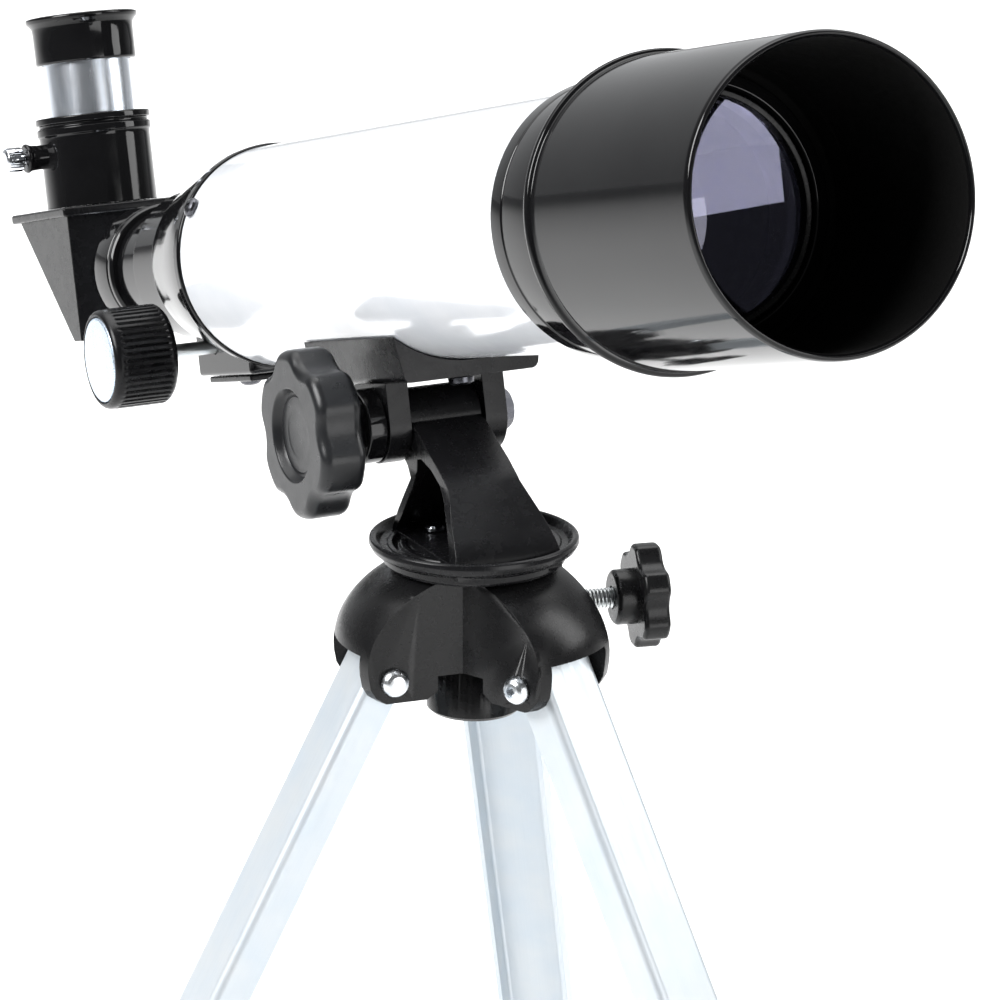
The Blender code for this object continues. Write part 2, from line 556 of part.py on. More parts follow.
def add_rear_cell(optics, looks):
    """The rear cell in coordinates of the optical axis, with Y rearward and Z up."""
    end = CELL_END / MM
    start = TUBE_REAR / MM
    bore = DRAW_RADIUS / MM + 0.3
    plug = (TUBE_RADIUS - TUBE_WALL) / MM - 0.3
    cell = on_axis("rear_cell", [
        (bore, 80.0), (plug, 80.0), (plug, start + 0.3), (28.3, start + 0.3), (28.6, start + 0.8),
        (28.5, start + 3.6), (27.6, start + 5.2), (26.8, 103.0), (24.8, 114.0), (22.6, 126.0),
        (22.0, 128.0), (20.3, 128.6), (20.0, end - 0.8), (19.4, end), (bore, end)],
        looks["black"], optics)
    housing = block("tool_housing", (-12.0 * MM, 92.0 * MM, -29.0 * MM), (12.0 * MM, 129.0 * MM, -14.0 * MM))
    combine(cell, tool("tool_housing", housing, optics), "UNION")
    clearance = rod("tool_draw_bore", bore * MM, 70.0 * MM, 160.0 * MM, "Y", LARGE)
    combine(cell, tool("tool_draw_bore", clearance, optics), "DIFFERENCE")
    slot = block("tool_rack_slot", (-3.3 * MM, 70.0 * MM, -18.6 * MM), (3.3 * MM, 160.0 * MM, -10.0 * MM))
    combine(cell, tool("tool_rack_slot", slot, optics), "DIFFERENCE")
    near = PINION_Y - 5.6 * MM
    far = PINION_Y + 5.6 * MM
    chamber = block("tool_chamber", (-6.3 * MM, near, -40.0 * MM), (6.3 * MM, far, -10.0 * MM))
    combine(cell, tool("tool_chamber", chamber, optics), "DIFFERENCE")
    hole = rod("tool_shaft_hole", SHAFT_RADIUS + GAP, -30.0 * MM, 30.0 * MM, "X")
    combine(cell, tool("tool_shaft_hole", hole, optics, (0.0, PINION_Y, -PINION_DROP)), "DIFFERENCE")

    plate = place("pinion_plate", block("pinion_plate", (-10.0 * MM, 98.0 * MM, -30.9 * MM),
                                        (10.0 * MM, 127.0 * MM, -29.3 * MM)), looks["black"], optics)
    soften(plate, 0.5 * MM)
    pan = [(0.0, 1.5 * MM), (2.9 * MM, 1.5 * MM), (2.9 * MM, 0.9 * MM), (2.2 * MM, 0.2 * MM),
           (0.7 * MM, 0.0), (0.7 * MM, 0.8 * MM), (0.0, 0.8 * MM)]
    for name, spot in (("plate_screw_front", 102.0 * MM), ("plate_screw_rear", 123.4 * MM)):
        place(name, turned("plate_screw", pan, SMALL), looks["black"], optics, (0.0, spot, -32.7 * MM))

    # Three radial screws hold the cell's plug in the tube
    for letter, angle in (("a", 150.0), ("b", 30.0), ("c", -90.0)):
        around = empty(f"cell_screw_axis_{letter}", optics, (0.0, 87.2 * MM, 0.0),
                       (0.0, -math.radians(angle), 0.0))
        head = TUBE_RADIUS + GAP
        pan = [(0.0, head), (2.5 * MM, head), (2.5 * MM, head + 0.8 * MM), (1.9 * MM, head + 1.6 * MM),
               (0.7 * MM, head + 1.8 * MM), (0.7 * MM, head + 1.0 * MM), (0.0, head + 1.0 * MM)]
        place(f"cell_screw_{letter}", turned("cell_screw", pan, SMALL), looks["black"], around,
              rotation=(0.0, math.pi / 2.0, 0.0))


# ---------------------------------------------------------------- focuser

def add_drawtube(optics, looks):
    front = DRAW_FRONT / MM
    rear = DRAW_REAR / MM
    outer = DRAW_RADIUS / MM
    inner = DRAW_BORE / MM
    on_axis("drawtube", [(inner, front), (outer - 0.3, front), (outer, front + 0.3), (outer, rear),
                         (inner, rear)], looks["black"], optics)
    on_axis("drawtube_collar", [
        (BARREL_OUTSIDE / MM + 0.2, rear + 0.3), (outer + 1.2, rear + 0.3), (outer + 1.9, rear + 1.0),
        (outer + 2.0, rear + 13.0), (outer + 1.4, rear + 13.8), (BARREL_OUTSIDE / MM + 0.2, rear + 13.8)],
        looks["black"], optics)

    pitch = 2.0 * math.pi * PINION_PITCH / PINION_TEETH
    tip = -PINION_DROP + PINION_PITCH - TOOTH_ADDENDUM
    root = tip + 2.0 * TOOTH_ADDENDUM
    back = root + 0.8 * MM
    before = 18
    after = 12
    start = PINION_Y - before * pitch
    outline = [(start - pitch / 2.0, back), (start - pitch / 2.0, root)]
    for i in range(before + after + 1):
        middle = start + i * pitch
        outline += [(middle - 0.27 * pitch, root), (middle - 0.11 * pitch, tip),
                    (middle + 0.11 * pitch, tip), (middle + 0.27 * pitch, root)]
    outline += [(start + (before + after + 0.5) * pitch, root), (start + (before + after + 0.5) * pitch, back)]
    place("focus_rack", prism("focus_rack", outline, -2.7 * MM, 2.7 * MM, "X"), looks["steel"], optics)


def add_pinion(pinion, looks):
    """The shaft with its small gear, turning in the rear cell's housing."""
    outline = []
    step = 2.0 * math.pi / PINION_TEETH
    tip = PINION_PITCH + TOOTH_ADDENDUM
    root = PINION_PITCH - TOOTH_ADDENDUM - 0.25 * MM
    for i in range(PINION_TEETH):
        middle = math.pi / 2.0 + (i + 0.5) * step
        for radius, share in ((root, -0.25), (tip, -0.09), (tip, 0.09), (root, 0.25)):
            angle = middle + share * step
            outline.append((radius * math.cos(angle), radius * math.sin(angle)))
    shaft = place("pinion_shaft", prism("pinion_shaft", outline, -5.8 * MM, 5.8 * MM, "X"),
                  looks["steel"], pinion)
    bar = rod("tool_shaft", SHAFT_RADIUS, -41.0 * MM, 41.0 * MM, "X")
    combine(shaft, tool("tool_shaft", bar, pinion), "UNION")


def ribbed_outline(radius, ribs, depth):
    outline = []
    step = 2.0 * math.pi / ribs
    for i in range(ribs):
        for reach, share in ((radius - depth, -0.30), (radius, -0.18), (radius, 0.18), (radius - depth, 0.30)):
            angle = (i + share) * step
            outline.append((reach * math.cos(angle), reach * math.sin(angle)))
    return outline


def add_focus_knob(name, side, pinion, looks):
    low, high = sorted((side * KNOB_BACK, side * (KNOB_FACE - 1.6 * MM)))
    outline = ribbed_outline(KNOB_RADIUS, KNOB_RIBS, 0.5 * MM)
    knob = place(f"focus_knob_{name}", prism("focus_knob", outline, low, high, "X"), looks["black"], pinion)
    quarter = (0.0, side * math.pi / 2.0, 0.0)
    face = KNOB_FACE
    rim = KNOB_RADIUS - 0.3 * MM
    cap_seat = [(0.0, face + MM), (rim - 1.4 * MM, face + MM), (rim - 1.4 * MM, face - 1.2 * MM),
                (0.0, face - 1.2 * MM)]
    band = [(0.0, face - 2.4 * MM), (rim, face - 2.4 * MM), (rim, face - 0.9 * MM),
            (rim - 0.8 * MM, face), (0.0, face)]
    rear = [(0.0, KNOB_BACK - 1.2 * MM), (9.0 * MM, KNOB_BACK - 1.2 * MM), (rim - 0.6 * MM, KNOB_BACK - 0.6 * MM),
            (rim, KNOB_BACK + 0.8 * MM), (0.0, KNOB_BACK + 0.8 * MM)]
    for label, profile, operation in (("band", band, "UNION"), ("rear", rear, "UNION"),
                                      ("cap_seat", cap_seat, "DIFFERENCE")):
        part = turned(f"tool_{label}", profile, MEDIUM)
        combine(knob, tool(f"tool_{label}_{name}", part, pinion, rotation=quarter), operation)
    hole = rod("tool_knob_hole", SHAFT_RADIUS + GAP, *sorted((side * 10.0 * MM, side * (face - 2.0 * MM))), "X")
    combine(knob, tool(f"tool_knob_hole_{name}", hole, pinion), "DIFFERENCE")
    reach = rim - 1.4 * MM - GAP
    cap = [(0.0, face - 0.9 * MM), (reach, face - 0.9 * MM), (reach, face - 0.1 * MM),
           (reach - 0.5 * MM, face + 0.1 * MM), (0.0, face + 0.4 * MM)]
    place(f"knob_cap_{name}", turned("knob_cap", cap, MEDIUM), looks["chrome"], pinion, rotation=quarter)


# ---------------------------------------------------------------- diagonal and eyepiece

def add_diagonal(optics, looks):
    front = DIAGONAL_FRONT
    slant = MIRROR_Y + MIRROR_BACKING       # the slanted face runs where y - z equals this
    nose = [(10.8, 176.0), (BARREL_OUTSIDE / MM - 0.4, 176.0), (BARREL_OUTSIDE / MM, 176.4),
            (BARREL_OUTSIDE / MM, front / MM - 0.3), (10.8, front / MM - 0.3)]
    on_axis("diagonal_nose", nose, looks["steel"], optics, MEDIUM)

    outline = [(front, DIAGONAL_TOP + 0.5 * MM), (front, DIAGONAL_BOTTOM),
               (slant + DIAGONAL_BOTTOM, DIAGONAL_BOTTOM),
               (slant + DIAGONAL_TOP, DIAGONAL_TOP), (slant + DIAGONAL_TOP, DIAGONAL_TOP + 0.5 * MM)]
    body = place("diagonal_body", prism("diagonal_body", outline, -DIAGONAL_HALF, DIAGONAL_HALF, "X"),
                 looks["black"], optics)
    lip = 1.3 * MM
    plate = tool("tool_top_plate", block(
        "tool_top_plate", (-DIAGONAL_HALF - lip, front - lip, DIAGONAL_TOP),
        (DIAGONAL_HALF + lip, slant + DIAGONAL_TOP + 4.0 * MM, DIAGONAL_TOP + 2.5 * MM)), optics)
    soften(plate, 0.7 * MM, 2)
    combine(body, plate, "UNION")
    along = rod("tool_light_in", 10.8 * MM, front - 5.0 * MM, MIRROR_Y, "Y", MEDIUM)
    combine(body, tool("tool_light_in", along, optics), "DIFFERENCE")
    upward = rod("tool_light_up", 11.5 * MM, 0.0, 30.0 * MM, "Z", MEDIUM)
    combine(body, tool("tool_light_up", upward, optics, (0.0, MIRROR_Y, 0.0)), "DIFFERENCE")

    # Mirror and cover lie in a pocket behind the light path, square to the 45 degree face
    tilted = (math.pi / 4.0, 0.0, 0.0)
    centre = (0.0, MIRROR_Y, 0.0)
    deep = MIRROR_BACKING / math.sqrt(2.0)
    wide = 14.0 * MM
    tall = 15.5 * MM
    pocket = block("tool_mirror_pocket", (-wide, -tall, -deep - MM), (wide, tall, 0.0))
    combine(body, tool("tool_mirror_pocket", pocket, optics, centre, tilted), "DIFFERENCE")
    edge = GAP
    glass = block("diagonal_mirror", (-wide + edge, -tall + edge, -1.8 * MM), (wide - edge, tall - edge, -GAP))
    place("diagonal_mirror", glass, looks["mirror"], optics, centre, tilted)
    cover = block("diagonal_cover", (-wide + edge, -tall + edge, -deep), (wide - edge, tall - edge, -2.1 * MM))
    place("diagonal_cover", cover, looks["black"], optics, centre, tilted)

    bore = BARREL_OUTSIDE + 0.2 * MM
    outer = SOCKET_RADIUS
    top = SOCKET_TOP
    profile = [(bore, SOCKET_BOTTOM), (outer, SOCKET_BOTTOM), (outer, top - 5.4 * MM),
               (outer + 0.5 * MM, top - 5.0 * MM), (outer + 0.5 * MM, top - 3.2 * MM),
               (outer - 0.2 * MM, top - 2.8 * MM), (outer - 0.2 * MM, top - 2.2 * MM),
               (outer + 0.6 * MM, top - 1.8 * MM), (outer + 0.6 * MM, top - 0.3 * MM),
               (outer + 0.2 * MM, top), (bore + 0.3 * MM, top), (bore, top - 0.4 * MM)]
    socket = place("eyepiece_socket", turned("eyepiece_socket", profile, MEDIUM), looks["black"], optics,
                   (0.0, MIRROR_Y, 0.0))
    boss = [(0.0, 13.2 * MM), (3.4 * MM, 13.2 * MM), (3.4 * MM, 17.6 * MM), (4.1 * MM, 20.6 * MM),
            (3.6 * MM, 21.4 * MM), (0.0, 21.4 * MM)]
    level = (0.0, MIRROR_Y, THUMB_HEIGHT)
    leftward = (0.0, -math.pi / 2.0, 0.0)
    combine(socket, tool("tool_thumb_boss", turned("tool_thumb_boss", boss, SMALL), optics, level, leftward),
            "UNION")
    thread = rod("tool_thumb_hole", 1.4 * MM + GAP, 5.0 * MM, 30.0 * MM)
    combine(socket, tool("tool_thumb_hole", thread, optics, level, leftward), "DIFFERENCE")
    screw = [(0.0, 12.7 * MM), (1.4 * MM, 12.7 * MM), (1.4 * MM, 22.2 * MM), (3.2 * MM, 22.2 * MM),
             (3.4 * MM, 22.6 * MM), (3.4 * MM, 26.4 * MM), (3.0 * MM, 27.0 * MM), (0.0, 27.4 * MM)]
    place("thumb_screw", turned("thumb_screw", screw, SMALL), looks["chrome"], optics, level, leftward)


def add_eyepiece(optics, looks):
    spot = (0.0, MIRROR_Y, 0.0)
    outer = BARREL_OUTSIDE
    inner = 11.0 * MM
    low = 23.0 * MM
    high = CAP_BOTTOM + 3.0 * MM
    barrel = [(inner, low), (outer - 0.4 * MM, low), (outer, low + 0.4 * MM), (outer, high), (inner, high)]
    place("eyepiece_barrel", turned("eyepiece_barrel", barrel, MEDIUM), looks["chrome"], optics, spot)
    seat = outer + GAP
    cap = [(5.0 * MM, CAP_TOP - 3.4 * MM), (5.0 * MM, CAP_TOP - 2.4 * MM), (9.0 * MM, CAP_TOP - 1.2 * MM),
           (13.6 * MM, CAP_TOP), (15.4 * MM, CAP_TOP), (15.9 * MM, CAP_TOP - 0.6 * MM),
           (15.7 * MM, CAP_TOP - 1.5 * MM), (14.3 * MM, CAP_TOP - 2.8 * MM), (14.1 * MM, CAP_BOTTOM + 0.5 * MM),
           (13.7 * MM, CAP_BOTTOM), (seat, CAP_BOTTOM), (seat, high + GAP), (10.6 * MM, high + GAP),
           (10.6 * MM, CAP_TOP - 5.0 * MM), (7.3 * MM, CAP_TOP - 5.0 * MM), (7.3 * MM, CAP_TOP - 3.4 * MM)]
    place("eyepiece_cap", turned("eyepiece_cap", cap, MEDIUM), looks["black"], optics, spot)
    eye = [(0.0, CAP_TOP - 6.4 * MM), (4.0 * MM, CAP_TOP - 6.0 * MM), (6.9 * MM, CAP_TOP - 5.2 * MM),
           (6.9 * MM, CAP_TOP - 3.9 * MM), (0.0, CAP_TOP - 3.9 * MM)]
    place("eye_lens", turned("eye_lens", eye, MEDIUM), looks["glass"], optics, spot)
    reach = inner - GAP
    field = [(0.0, low + 2.0 * MM), (reach, low + 3.4 * MM), (reach, low + 5.0 * MM), (0.0, low + 5.4 * MM)]
    place("field_lens", turned("field_lens", field, MEDIUM), looks["glass"], optics, spot)


def build():
    clear_scene()
    looks = finishes()
    base = empty("base", None, (AZIMUTH_X, AZIMUTH_Y, 0.0))
    top = empty("azimuth_axis", base, (0.0, 0.0, RIM_HEIGHT))
    head = empty("altitude_axis", top, (0.0, PIVOT_Y, PIVOT_ABOVE_RIM), (-TILT, 0.0, 0.0))
    optics = empty("optical_axis", head, (0.0, -TUBE_FORWARD, AXIS_ABOVE_PIVOT))
    pinion = empty("pinion_axis", optics, (0.0, PINION_Y, -PINION_DROP))

    reach = 400.0 * MM
    ground = tool("tool_ground", block("tool_ground", (-reach, -reach, -100.0 * MM), (reach, reach, 0.0)), base)

    add_hub(top, looks)
    for index, letter in enumerate("abc"):
        add_leg(letter, index, base, ground, looks)
    add_azimuth_lock(top, looks)
    add_yoke(top, looks)
    add_saddle(head, looks)
    add_altitude_knob(head, looks)
    add_front(optics, looks)
    add_rear_cell(optics, looks)
    add_drawtube(optics, looks)
    add_pinion(pinion, looks)
    add_focus_knob("left", -1.0, pinion, looks)
    add_focus_knob("right", 1.0, pinion, looks)
    add_diagonal(optics, looks)
    add_eyepiece(optics, looks)


build()
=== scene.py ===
import json
import math

import bmesh
import bpy
from mathutils import Matrix, Vector


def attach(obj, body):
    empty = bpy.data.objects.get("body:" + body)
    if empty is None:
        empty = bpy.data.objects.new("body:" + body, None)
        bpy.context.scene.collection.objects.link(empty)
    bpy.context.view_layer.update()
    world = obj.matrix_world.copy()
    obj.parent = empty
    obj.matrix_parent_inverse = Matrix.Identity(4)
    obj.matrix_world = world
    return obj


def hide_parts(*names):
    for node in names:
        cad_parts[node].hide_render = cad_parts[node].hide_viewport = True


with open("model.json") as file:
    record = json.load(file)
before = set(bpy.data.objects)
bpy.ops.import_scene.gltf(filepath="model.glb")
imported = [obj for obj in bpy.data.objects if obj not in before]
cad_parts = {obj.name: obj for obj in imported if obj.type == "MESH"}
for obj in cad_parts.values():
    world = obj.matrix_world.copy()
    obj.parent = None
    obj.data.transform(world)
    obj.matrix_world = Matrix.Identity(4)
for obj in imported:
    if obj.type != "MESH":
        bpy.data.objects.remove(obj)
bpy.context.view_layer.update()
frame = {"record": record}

MM = 0.001
FINEST = 220                # flats in the tube, the hood and the saddle's cradle
FINE = 144                  # flats in a large circle
MEDIUM = 96
SMALL = 48

# ------------------------------------------------------------- places

joints = {joint["name"]: joint for joint in frame["record"]["behaviour"]["joints"]}


def joint_place(name):
    return Vector(joints[name]["pos_m"])


FIRST_LEG_ANGLE = math.radians(-65.8)
LEG_ANGLES = {letter: FIRST_LEG_ANGLE + i * 2.0 * math.pi / 3.0 for i, letter in enumerate("abc")}
LOCK_ANGLE = FIRST_LEG_ANGLE + math.radians(54.0)
LOCK_HEIGHT = -18.4         # of the azimuth bolt, from the hub's rim
SPLAY = math.radians(27.5)  # lean of a leg from upright
TILT = math.radians(14.5)   # rise of the optical axis
ARM_HALF = 12.8             # half width of the hub's arm over a leg
HINGE_BELOW_RIM = 29.6
HINGE_HOLE = 2.6
LEG_LENGTH = 300.0          # from the hinge to the leg's end
LEG_HALF = 9.3              # half width of a leg
LEG_OUTSIDE = 5.0           # closed face of a leg, outward of its hinge
LEG_INSIDE = -3.8           # open edges of a leg
TUBE_RADIUS = 28.0
TUBE_FORWARD = 9.6          # start of the distances along the tube, ahead of the tilt pivot
AXIS_ABOVE_PIVOT = 41.7
LENS_RADIUS = 25.0
PINION_Y = 115.5            # behind that start, as every distance along the tube
PINION_DROP = 21.4          # of the pinion below the optical axis
PINION_RADIUS = 4.2         # pitch radius
PINION_TEETH = 12
MIRROR_Y = 221.5
SLEEVE = 12.25              # radius of the diagonal's nose and the eyepiece barrel
SLEEVE_BORE = 12.45

RIM = Matrix.Translation(joint_place("azimuth_turn"))
HEAD = Matrix.Translation(joint_place("altitude_tilt")) @ Matrix.Rotation(-TILT, 4, "X")
OPTICS = HEAD @ Matrix.Translation((0.0, -TUBE_FORWARD * MM, AXIS_ABOVE_PIVOT * MM))
PINION = OPTICS @ Matrix.Translation((0.0, PINION_Y * MM, -PINION_DROP * MM))
UPRIGHT = OPTICS @ Matrix.Translation((0.0, MIRROR_Y * MM, 0.0))
REARWARD = Matrix.Rotation(-math.pi / 2.0, 4, "X")      # turned height runs rearward
RIGHTWARD = Matrix.Rotation(math.pi / 2.0, 4, "Y")      # turned height runs towards +X
LEFTWARD = Matrix.Rotation(-math.pi / 2.0, 4, "Y")


def around(angle):
    return Matrix.Rotation(angle, 4, "Z")


def moved(x, y, z):
    return Matrix.Translation((x * MM, y * MM, z * MM))


# ------------------------------------------------------------- mesh making
# All outlines and profiles are in millimetres.

def as_object(shape, name, sharp=32.0):
    bmesh.ops.recalc_face_normals(shape, faces=shape.faces)
    mesh = bpy.data.meshes.new(name)
    shape.to_mesh(mesh)
    shape.free()
    mesh.shade_smooth()
    mesh.set_sharp_from_angle(angle=math.radians(sharp))
    made = bpy.data.objects.new(name, mesh)
    bpy.context.scene.collection.objects.link(made)
    return made


def eased(profile, ease, closed):
    """The profile with its corners rounded over a distance of ease."""
    if ease <= 0.0:
        return list(profile)
    count = len(profile)
    out = []
    for i, here in enumerate(profile):
        if not closed and i in (0, count - 1):
            out.append(here)
            continue
        a = Vector(profile[i - 1])
        b = Vector(here)
        c = Vector(profile[(i + 1) % count])
        before = a - b
        after = c - b
        if before.length < 1e-6 or after.length < 1e-6 or before.angle(after) > math.radians(168.0):
            out.append(here)
            continue
        reach = min(ease, before.length * 0.45, after.length * 0.45)
        start = b + before.normalized() * reach
        end = b + after.normalized() * reach
        for k in range(5):
            t = k / 4.0
            spot = start * (1.0 - t) ** 2 + b * 2.0 * t * (1.0 - t) + end * t ** 2
            out.append((spot.x, spot.y))
    return out


def turned(name, profile, steps, ease=0.0, sharp=32.0):
    """A lathe shape about Z: the profile is (radius, height)."""
    on_axis = profile[0][0] == 0.0 and profile[-1][0] == 0.0
    points = eased(profile, ease, not on_axis)
    shape = bmesh.new()
    ring = [shape.verts.new((radius * MM, 0.0, height * MM)) for radius, height in points]
    first = 1 if on_axis else 0
    edges = [shape.edges.new((ring[i - 1], ring[i])) for i in range(first, len(ring))]
    bmesh.ops.spin(shape, geom=ring + edges, cent=(0.0, 0.0, 0.0), axis=(0.0, 0.0, 1.0),
                   angle=2.0 * math.pi, steps=steps, use_merge=True)
    bmesh.ops.remove_doubles(shape, verts=shape.verts, dist=0.000002)
    return as_object(shape, name, sharp)


def prism(name, outline, low, high, across="Z"):
    """An outline in the other two axes, pushed from low to high along one axis."""
    axis = "XYZ".index(across)

    def corner(point, height):
        spot = [point[0] * MM, point[1] * MM]
        spot.insert(axis, height * MM)
        return spot

    shape = bmesh.new()
    face = shape.faces.new([shape.verts.new(corner(point, low)) for point in outline])
    pushed = bmesh.ops.extrude_face_region(shape, geom=[face])
    tops = [item for item in pushed["geom"] if isinstance(item, bmesh.types.BMVert)]
    shift = [0.0, 0.0, 0.0]
    shift[axis] = (high - low) * MM
    bmesh.ops.translate(shape, verts=tops, vec=shift)
    return as_object(shape, name)


def block(name, low, high):
    outline = [(low[0], low[1]), (high[0], low[1]), (high[0], high[1]), (low[0], high[1])]
    return prism(name, outline, low[2], high[2])


def arc(centre, radius, start, end, steps):
    points = []
    for i in range(steps + 1):
        angle = start + (end - start) * i / steps
        points.append((centre[0] + radius * math.cos(angle), centre[1] + radius * math.sin(angle)))
    return points


def circle(radius, steps):
    return arc((0.0, 0.0), radius, 0.0, 2.0 * math.pi, steps)[:-1]


def rod(name, radius, low, high, across="Z", steps=MEDIUM):
    return prism(name, circle(radius, steps), low, high, across)


def bridge(shape, lower, upper):
    """Quads between two rings of vertices."""
    for k in range(len(lower)):
        after = (k + 1) % len(lower)
        shape.faces.new((lower[k], lower[after], upper[after], upper[k]))


def threaded(name, radius, low, high, pitch, depth, steps=40):
    """A rod along Z with a helical thread and plain chamfered ends."""
    per_turn = 8
    rows = max(2, int((high - low) / pitch * per_turn))
    shape = bmesh.new()
    rings = []
    for i in range(rows + 1):
        height = low + (high - low) * i / rows
        fade = min(1.0, min(height - low, high - height) / pitch)
        ring = []
        for k in range(steps):
            turn = k / steps
            phase = (height / pitch - turn) % 1.0
            cut = depth * (1.0 - abs(2.0 * phase - 1.0))
            reach = (radius - cut - 0.25 * (1.0 - fade)) * MM
            angle = turn * 2.0 * math.pi
            ring.append(shape.verts.new((reach * math.cos(angle), reach * math.sin(angle), height * MM)))
        rings.append(ring)
    for lower, upper in zip(rings, rings[1:]):
        bridge(shape, lower, upper)
    shape.faces.new(rings[0])
    shape.faces.new(rings[-1])
    return as_object(shape, name, 50.0)


def lay(made, matrix):
    """Moves a mesh inside its own object, so that cutters line up."""
    made.data.transform(matrix)
    return made


def baked(target):
    """Keeps what the modifiers give as the piece's own mesh."""
    bpy.context.view_layer.update()
    result = bpy.data.meshes.new_from_object(target.evaluated_get(bpy.context.evaluated_depsgraph_get()))
    target.modifiers.clear()
    target.data = result
    return target


def smoothed(target, sharp=40.0):
    """Smooth shading that leaves the large flat faces flat."""
    target.data.shade_smooth()
    target.data.set_sharp_from_angle(angle=math.radians(sharp))
    step = target.modifiers.new("Normals", "WEIGHTED_NORMAL")
    step.weight = 90
    step.keep_sharp = True
    return baked(target)


def combine(target, cutter, operation):
    step = target.modifiers.new("Boolean", "BOOLEAN")
    step.operation = operation
    step.solver = "EXACT"
    step.object = cutter
    baked(target)
    bpy.data.objects.remove(cutter, do_unlink=True)
    return target


def rounded(target, width, segments, limit=38.0):
    """Softens the edges of a piece and keeps the result in its mesh."""
    step = target.modifiers.new("Bevel", "BEVEL")
    step.width = width * MM
    step.segments = segments
    step.limit_method = "ANGLE"
    step.angle_limit = math.radians(limit)
    step.use_clamp_overlap = True
    return smoothed(baked(target))


def cross_recess(screw, height, reach, half, turn):
    """Cuts a cross into a screw head that faces up Z."""
    for angle in (turn, turn + math.pi / 2.0):
        cut = block("cross", (-reach, -half, height), (reach, half, height + 4.0))
        combine(screw, lay(cut, around(angle)), "DIFFERENCE")
    return smoothed(screw, 35.0)


def hexagon_nut(radius, crown, hole):
    """A nut as tall as its crown, a lathe shape that softens the corners."""
    low = crown[0][1]
    high = crown[-1][1]
    nut = prism("nut", circle(radius, 6), low, high)
    combine(nut, turned("crown", crown, SMALL), "INTERSECT")
    combine(nut, rod("thread", hole, low - 5.0, high + 5.0, "Z", SMALL), "DIFFERENCE")
    return smoothed(nut, 25.0)


def settle(made, name, matrix, body, finish, slot, *nodes):
    """Puts a finished piece in its place, on its body, in front of its CAD nodes."""
    made.name = name
    made.data.materials.clear()
    made.data.materials.append(finish)
    made.data.transform(matrix)
    bpy.context.view_layer.update()
    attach(made, body)
    if nodes:
        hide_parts(*nodes)
    return made


def lined(made, radius, low, high):
    """Gives the faces closer to the optical axis than radius a matt lining."""
    made.data.materials.append(MATT)
    back = (OPTICS @ REARWARD).inverted()
    for face in made.data.polygons:
        spot = back @ face.center
        if spot.xy.length < radius * MM and low * MM < spot.z < high * MM:
            face.material_index = 1


# ------------------------------------------------------------- finishes

def new_material(name):
    made = bpy.data.materials.new(name)
    made.use_nodes = True
    tree = made.node_tree
    return made, tree.nodes, tree.links, tree.nodes["Principled BSDF"]


def noise(nodes, links, source, scale, detail, rough=0.5):
    node = nodes.new("ShaderNodeTexNoise")
    node.inputs["Scale"].default_value = scale
    node.inputs["Detail"].default_value = detail
    node.inputs["Roughness"].default_value = rough
    links.new(source, node.inputs["Vector"])
    return node.outputs["Fac"]


def stretched(nodes, links, scale, turn=None):
    """Object coordinates, first turned into a part's own directions, then scaled."""
    place = nodes.new("ShaderNodeTexCoord")
    source = place.outputs["Object"]
    if turn is not None:
        aim = nodes.new("ShaderNodeMapping")
        aim.inputs["Rotation"].default_value = turn.to_3x3().inverted().to_euler()
        links.new(source, aim.inputs["Vector"])
        source = aim.outputs["Vector"]
    warp = nodes.new("ShaderNodeMapping")
    warp.inputs["Scale"].default_value = scale
    links.new(source, warp.inputs["Vector"])
    return warp.outputs["Vector"]


def spread(nodes, links, source, low, high, start=0.3, end=0.7):
    node = nodes.new("ShaderNodeMapRange")
    node.inputs["From Min"].default_value = start
    node.inputs["From Max"].default_value = end
    node.inputs["To Min"].default_value = low
    node.inputs["To Max"].default_value = high
    links.new(source, node.inputs["Value"])
    return node.outputs["Result"]


def mixed(nodes, links, factor, first, second):
    node = nodes.new("ShaderNodeMix")
    node.data_type = "RGBA"
    node.inputs["A"].default_value = (*first, 1.0)
    node.inputs["B"].default_value = (*second, 1.0)
    links.new(factor, node.inputs["Factor"])
    return node.outputs["Result"]


def mottle(nodes, links, shader, cloud, first, second):
    """A base colour that drifts between two tones."""
    tone = mixed(nodes, links, spread(nodes, links, cloud, 0.0, 1.0), first, second)
    links.new(tone, shader.inputs["Base Color"])


def bump(nodes, links, shader, height, strength, distance):
    node = nodes.new("ShaderNodeBump")
    node.inputs["Strength"].default_value = strength
    node.inputs["Distance"].default_value = distance
    links.new(height, node.inputs["Height"])
    links.new(node.outputs["Normal"], shader.inputs["Normal"])


def plastic(name, dark, light, rough_low, rough_high, grain, strength, distance, coat=0.0, ior=1.5):
    """Moulded plastic: mottled tone, uneven sheen, and a fine surface grain."""
    made, nodes, links, shader = new_material(name)
    where = stretched(nodes, links, (1.0, 1.0, 1.0))
    cloud = noise(nodes, links, where, 60.0, 4.0)
    mottle(nodes, links, shader, cloud, dark, light)
    wear = noise(nodes, links, where, 240.0, 5.0, 0.65)
    links.new(spread(nodes, links, wear, rough_low, rough_high), shader.inputs["Roughness"])
    bump(nodes, links, shader, noise(nodes, links, where, grain, 2.0), strength, distance)
    shader.inputs["Coat Weight"].default_value = coat
    shader.inputs["Coat Roughness"].default_value = 0.06
    shader.inputs["IOR"].default_value = ior
    return made


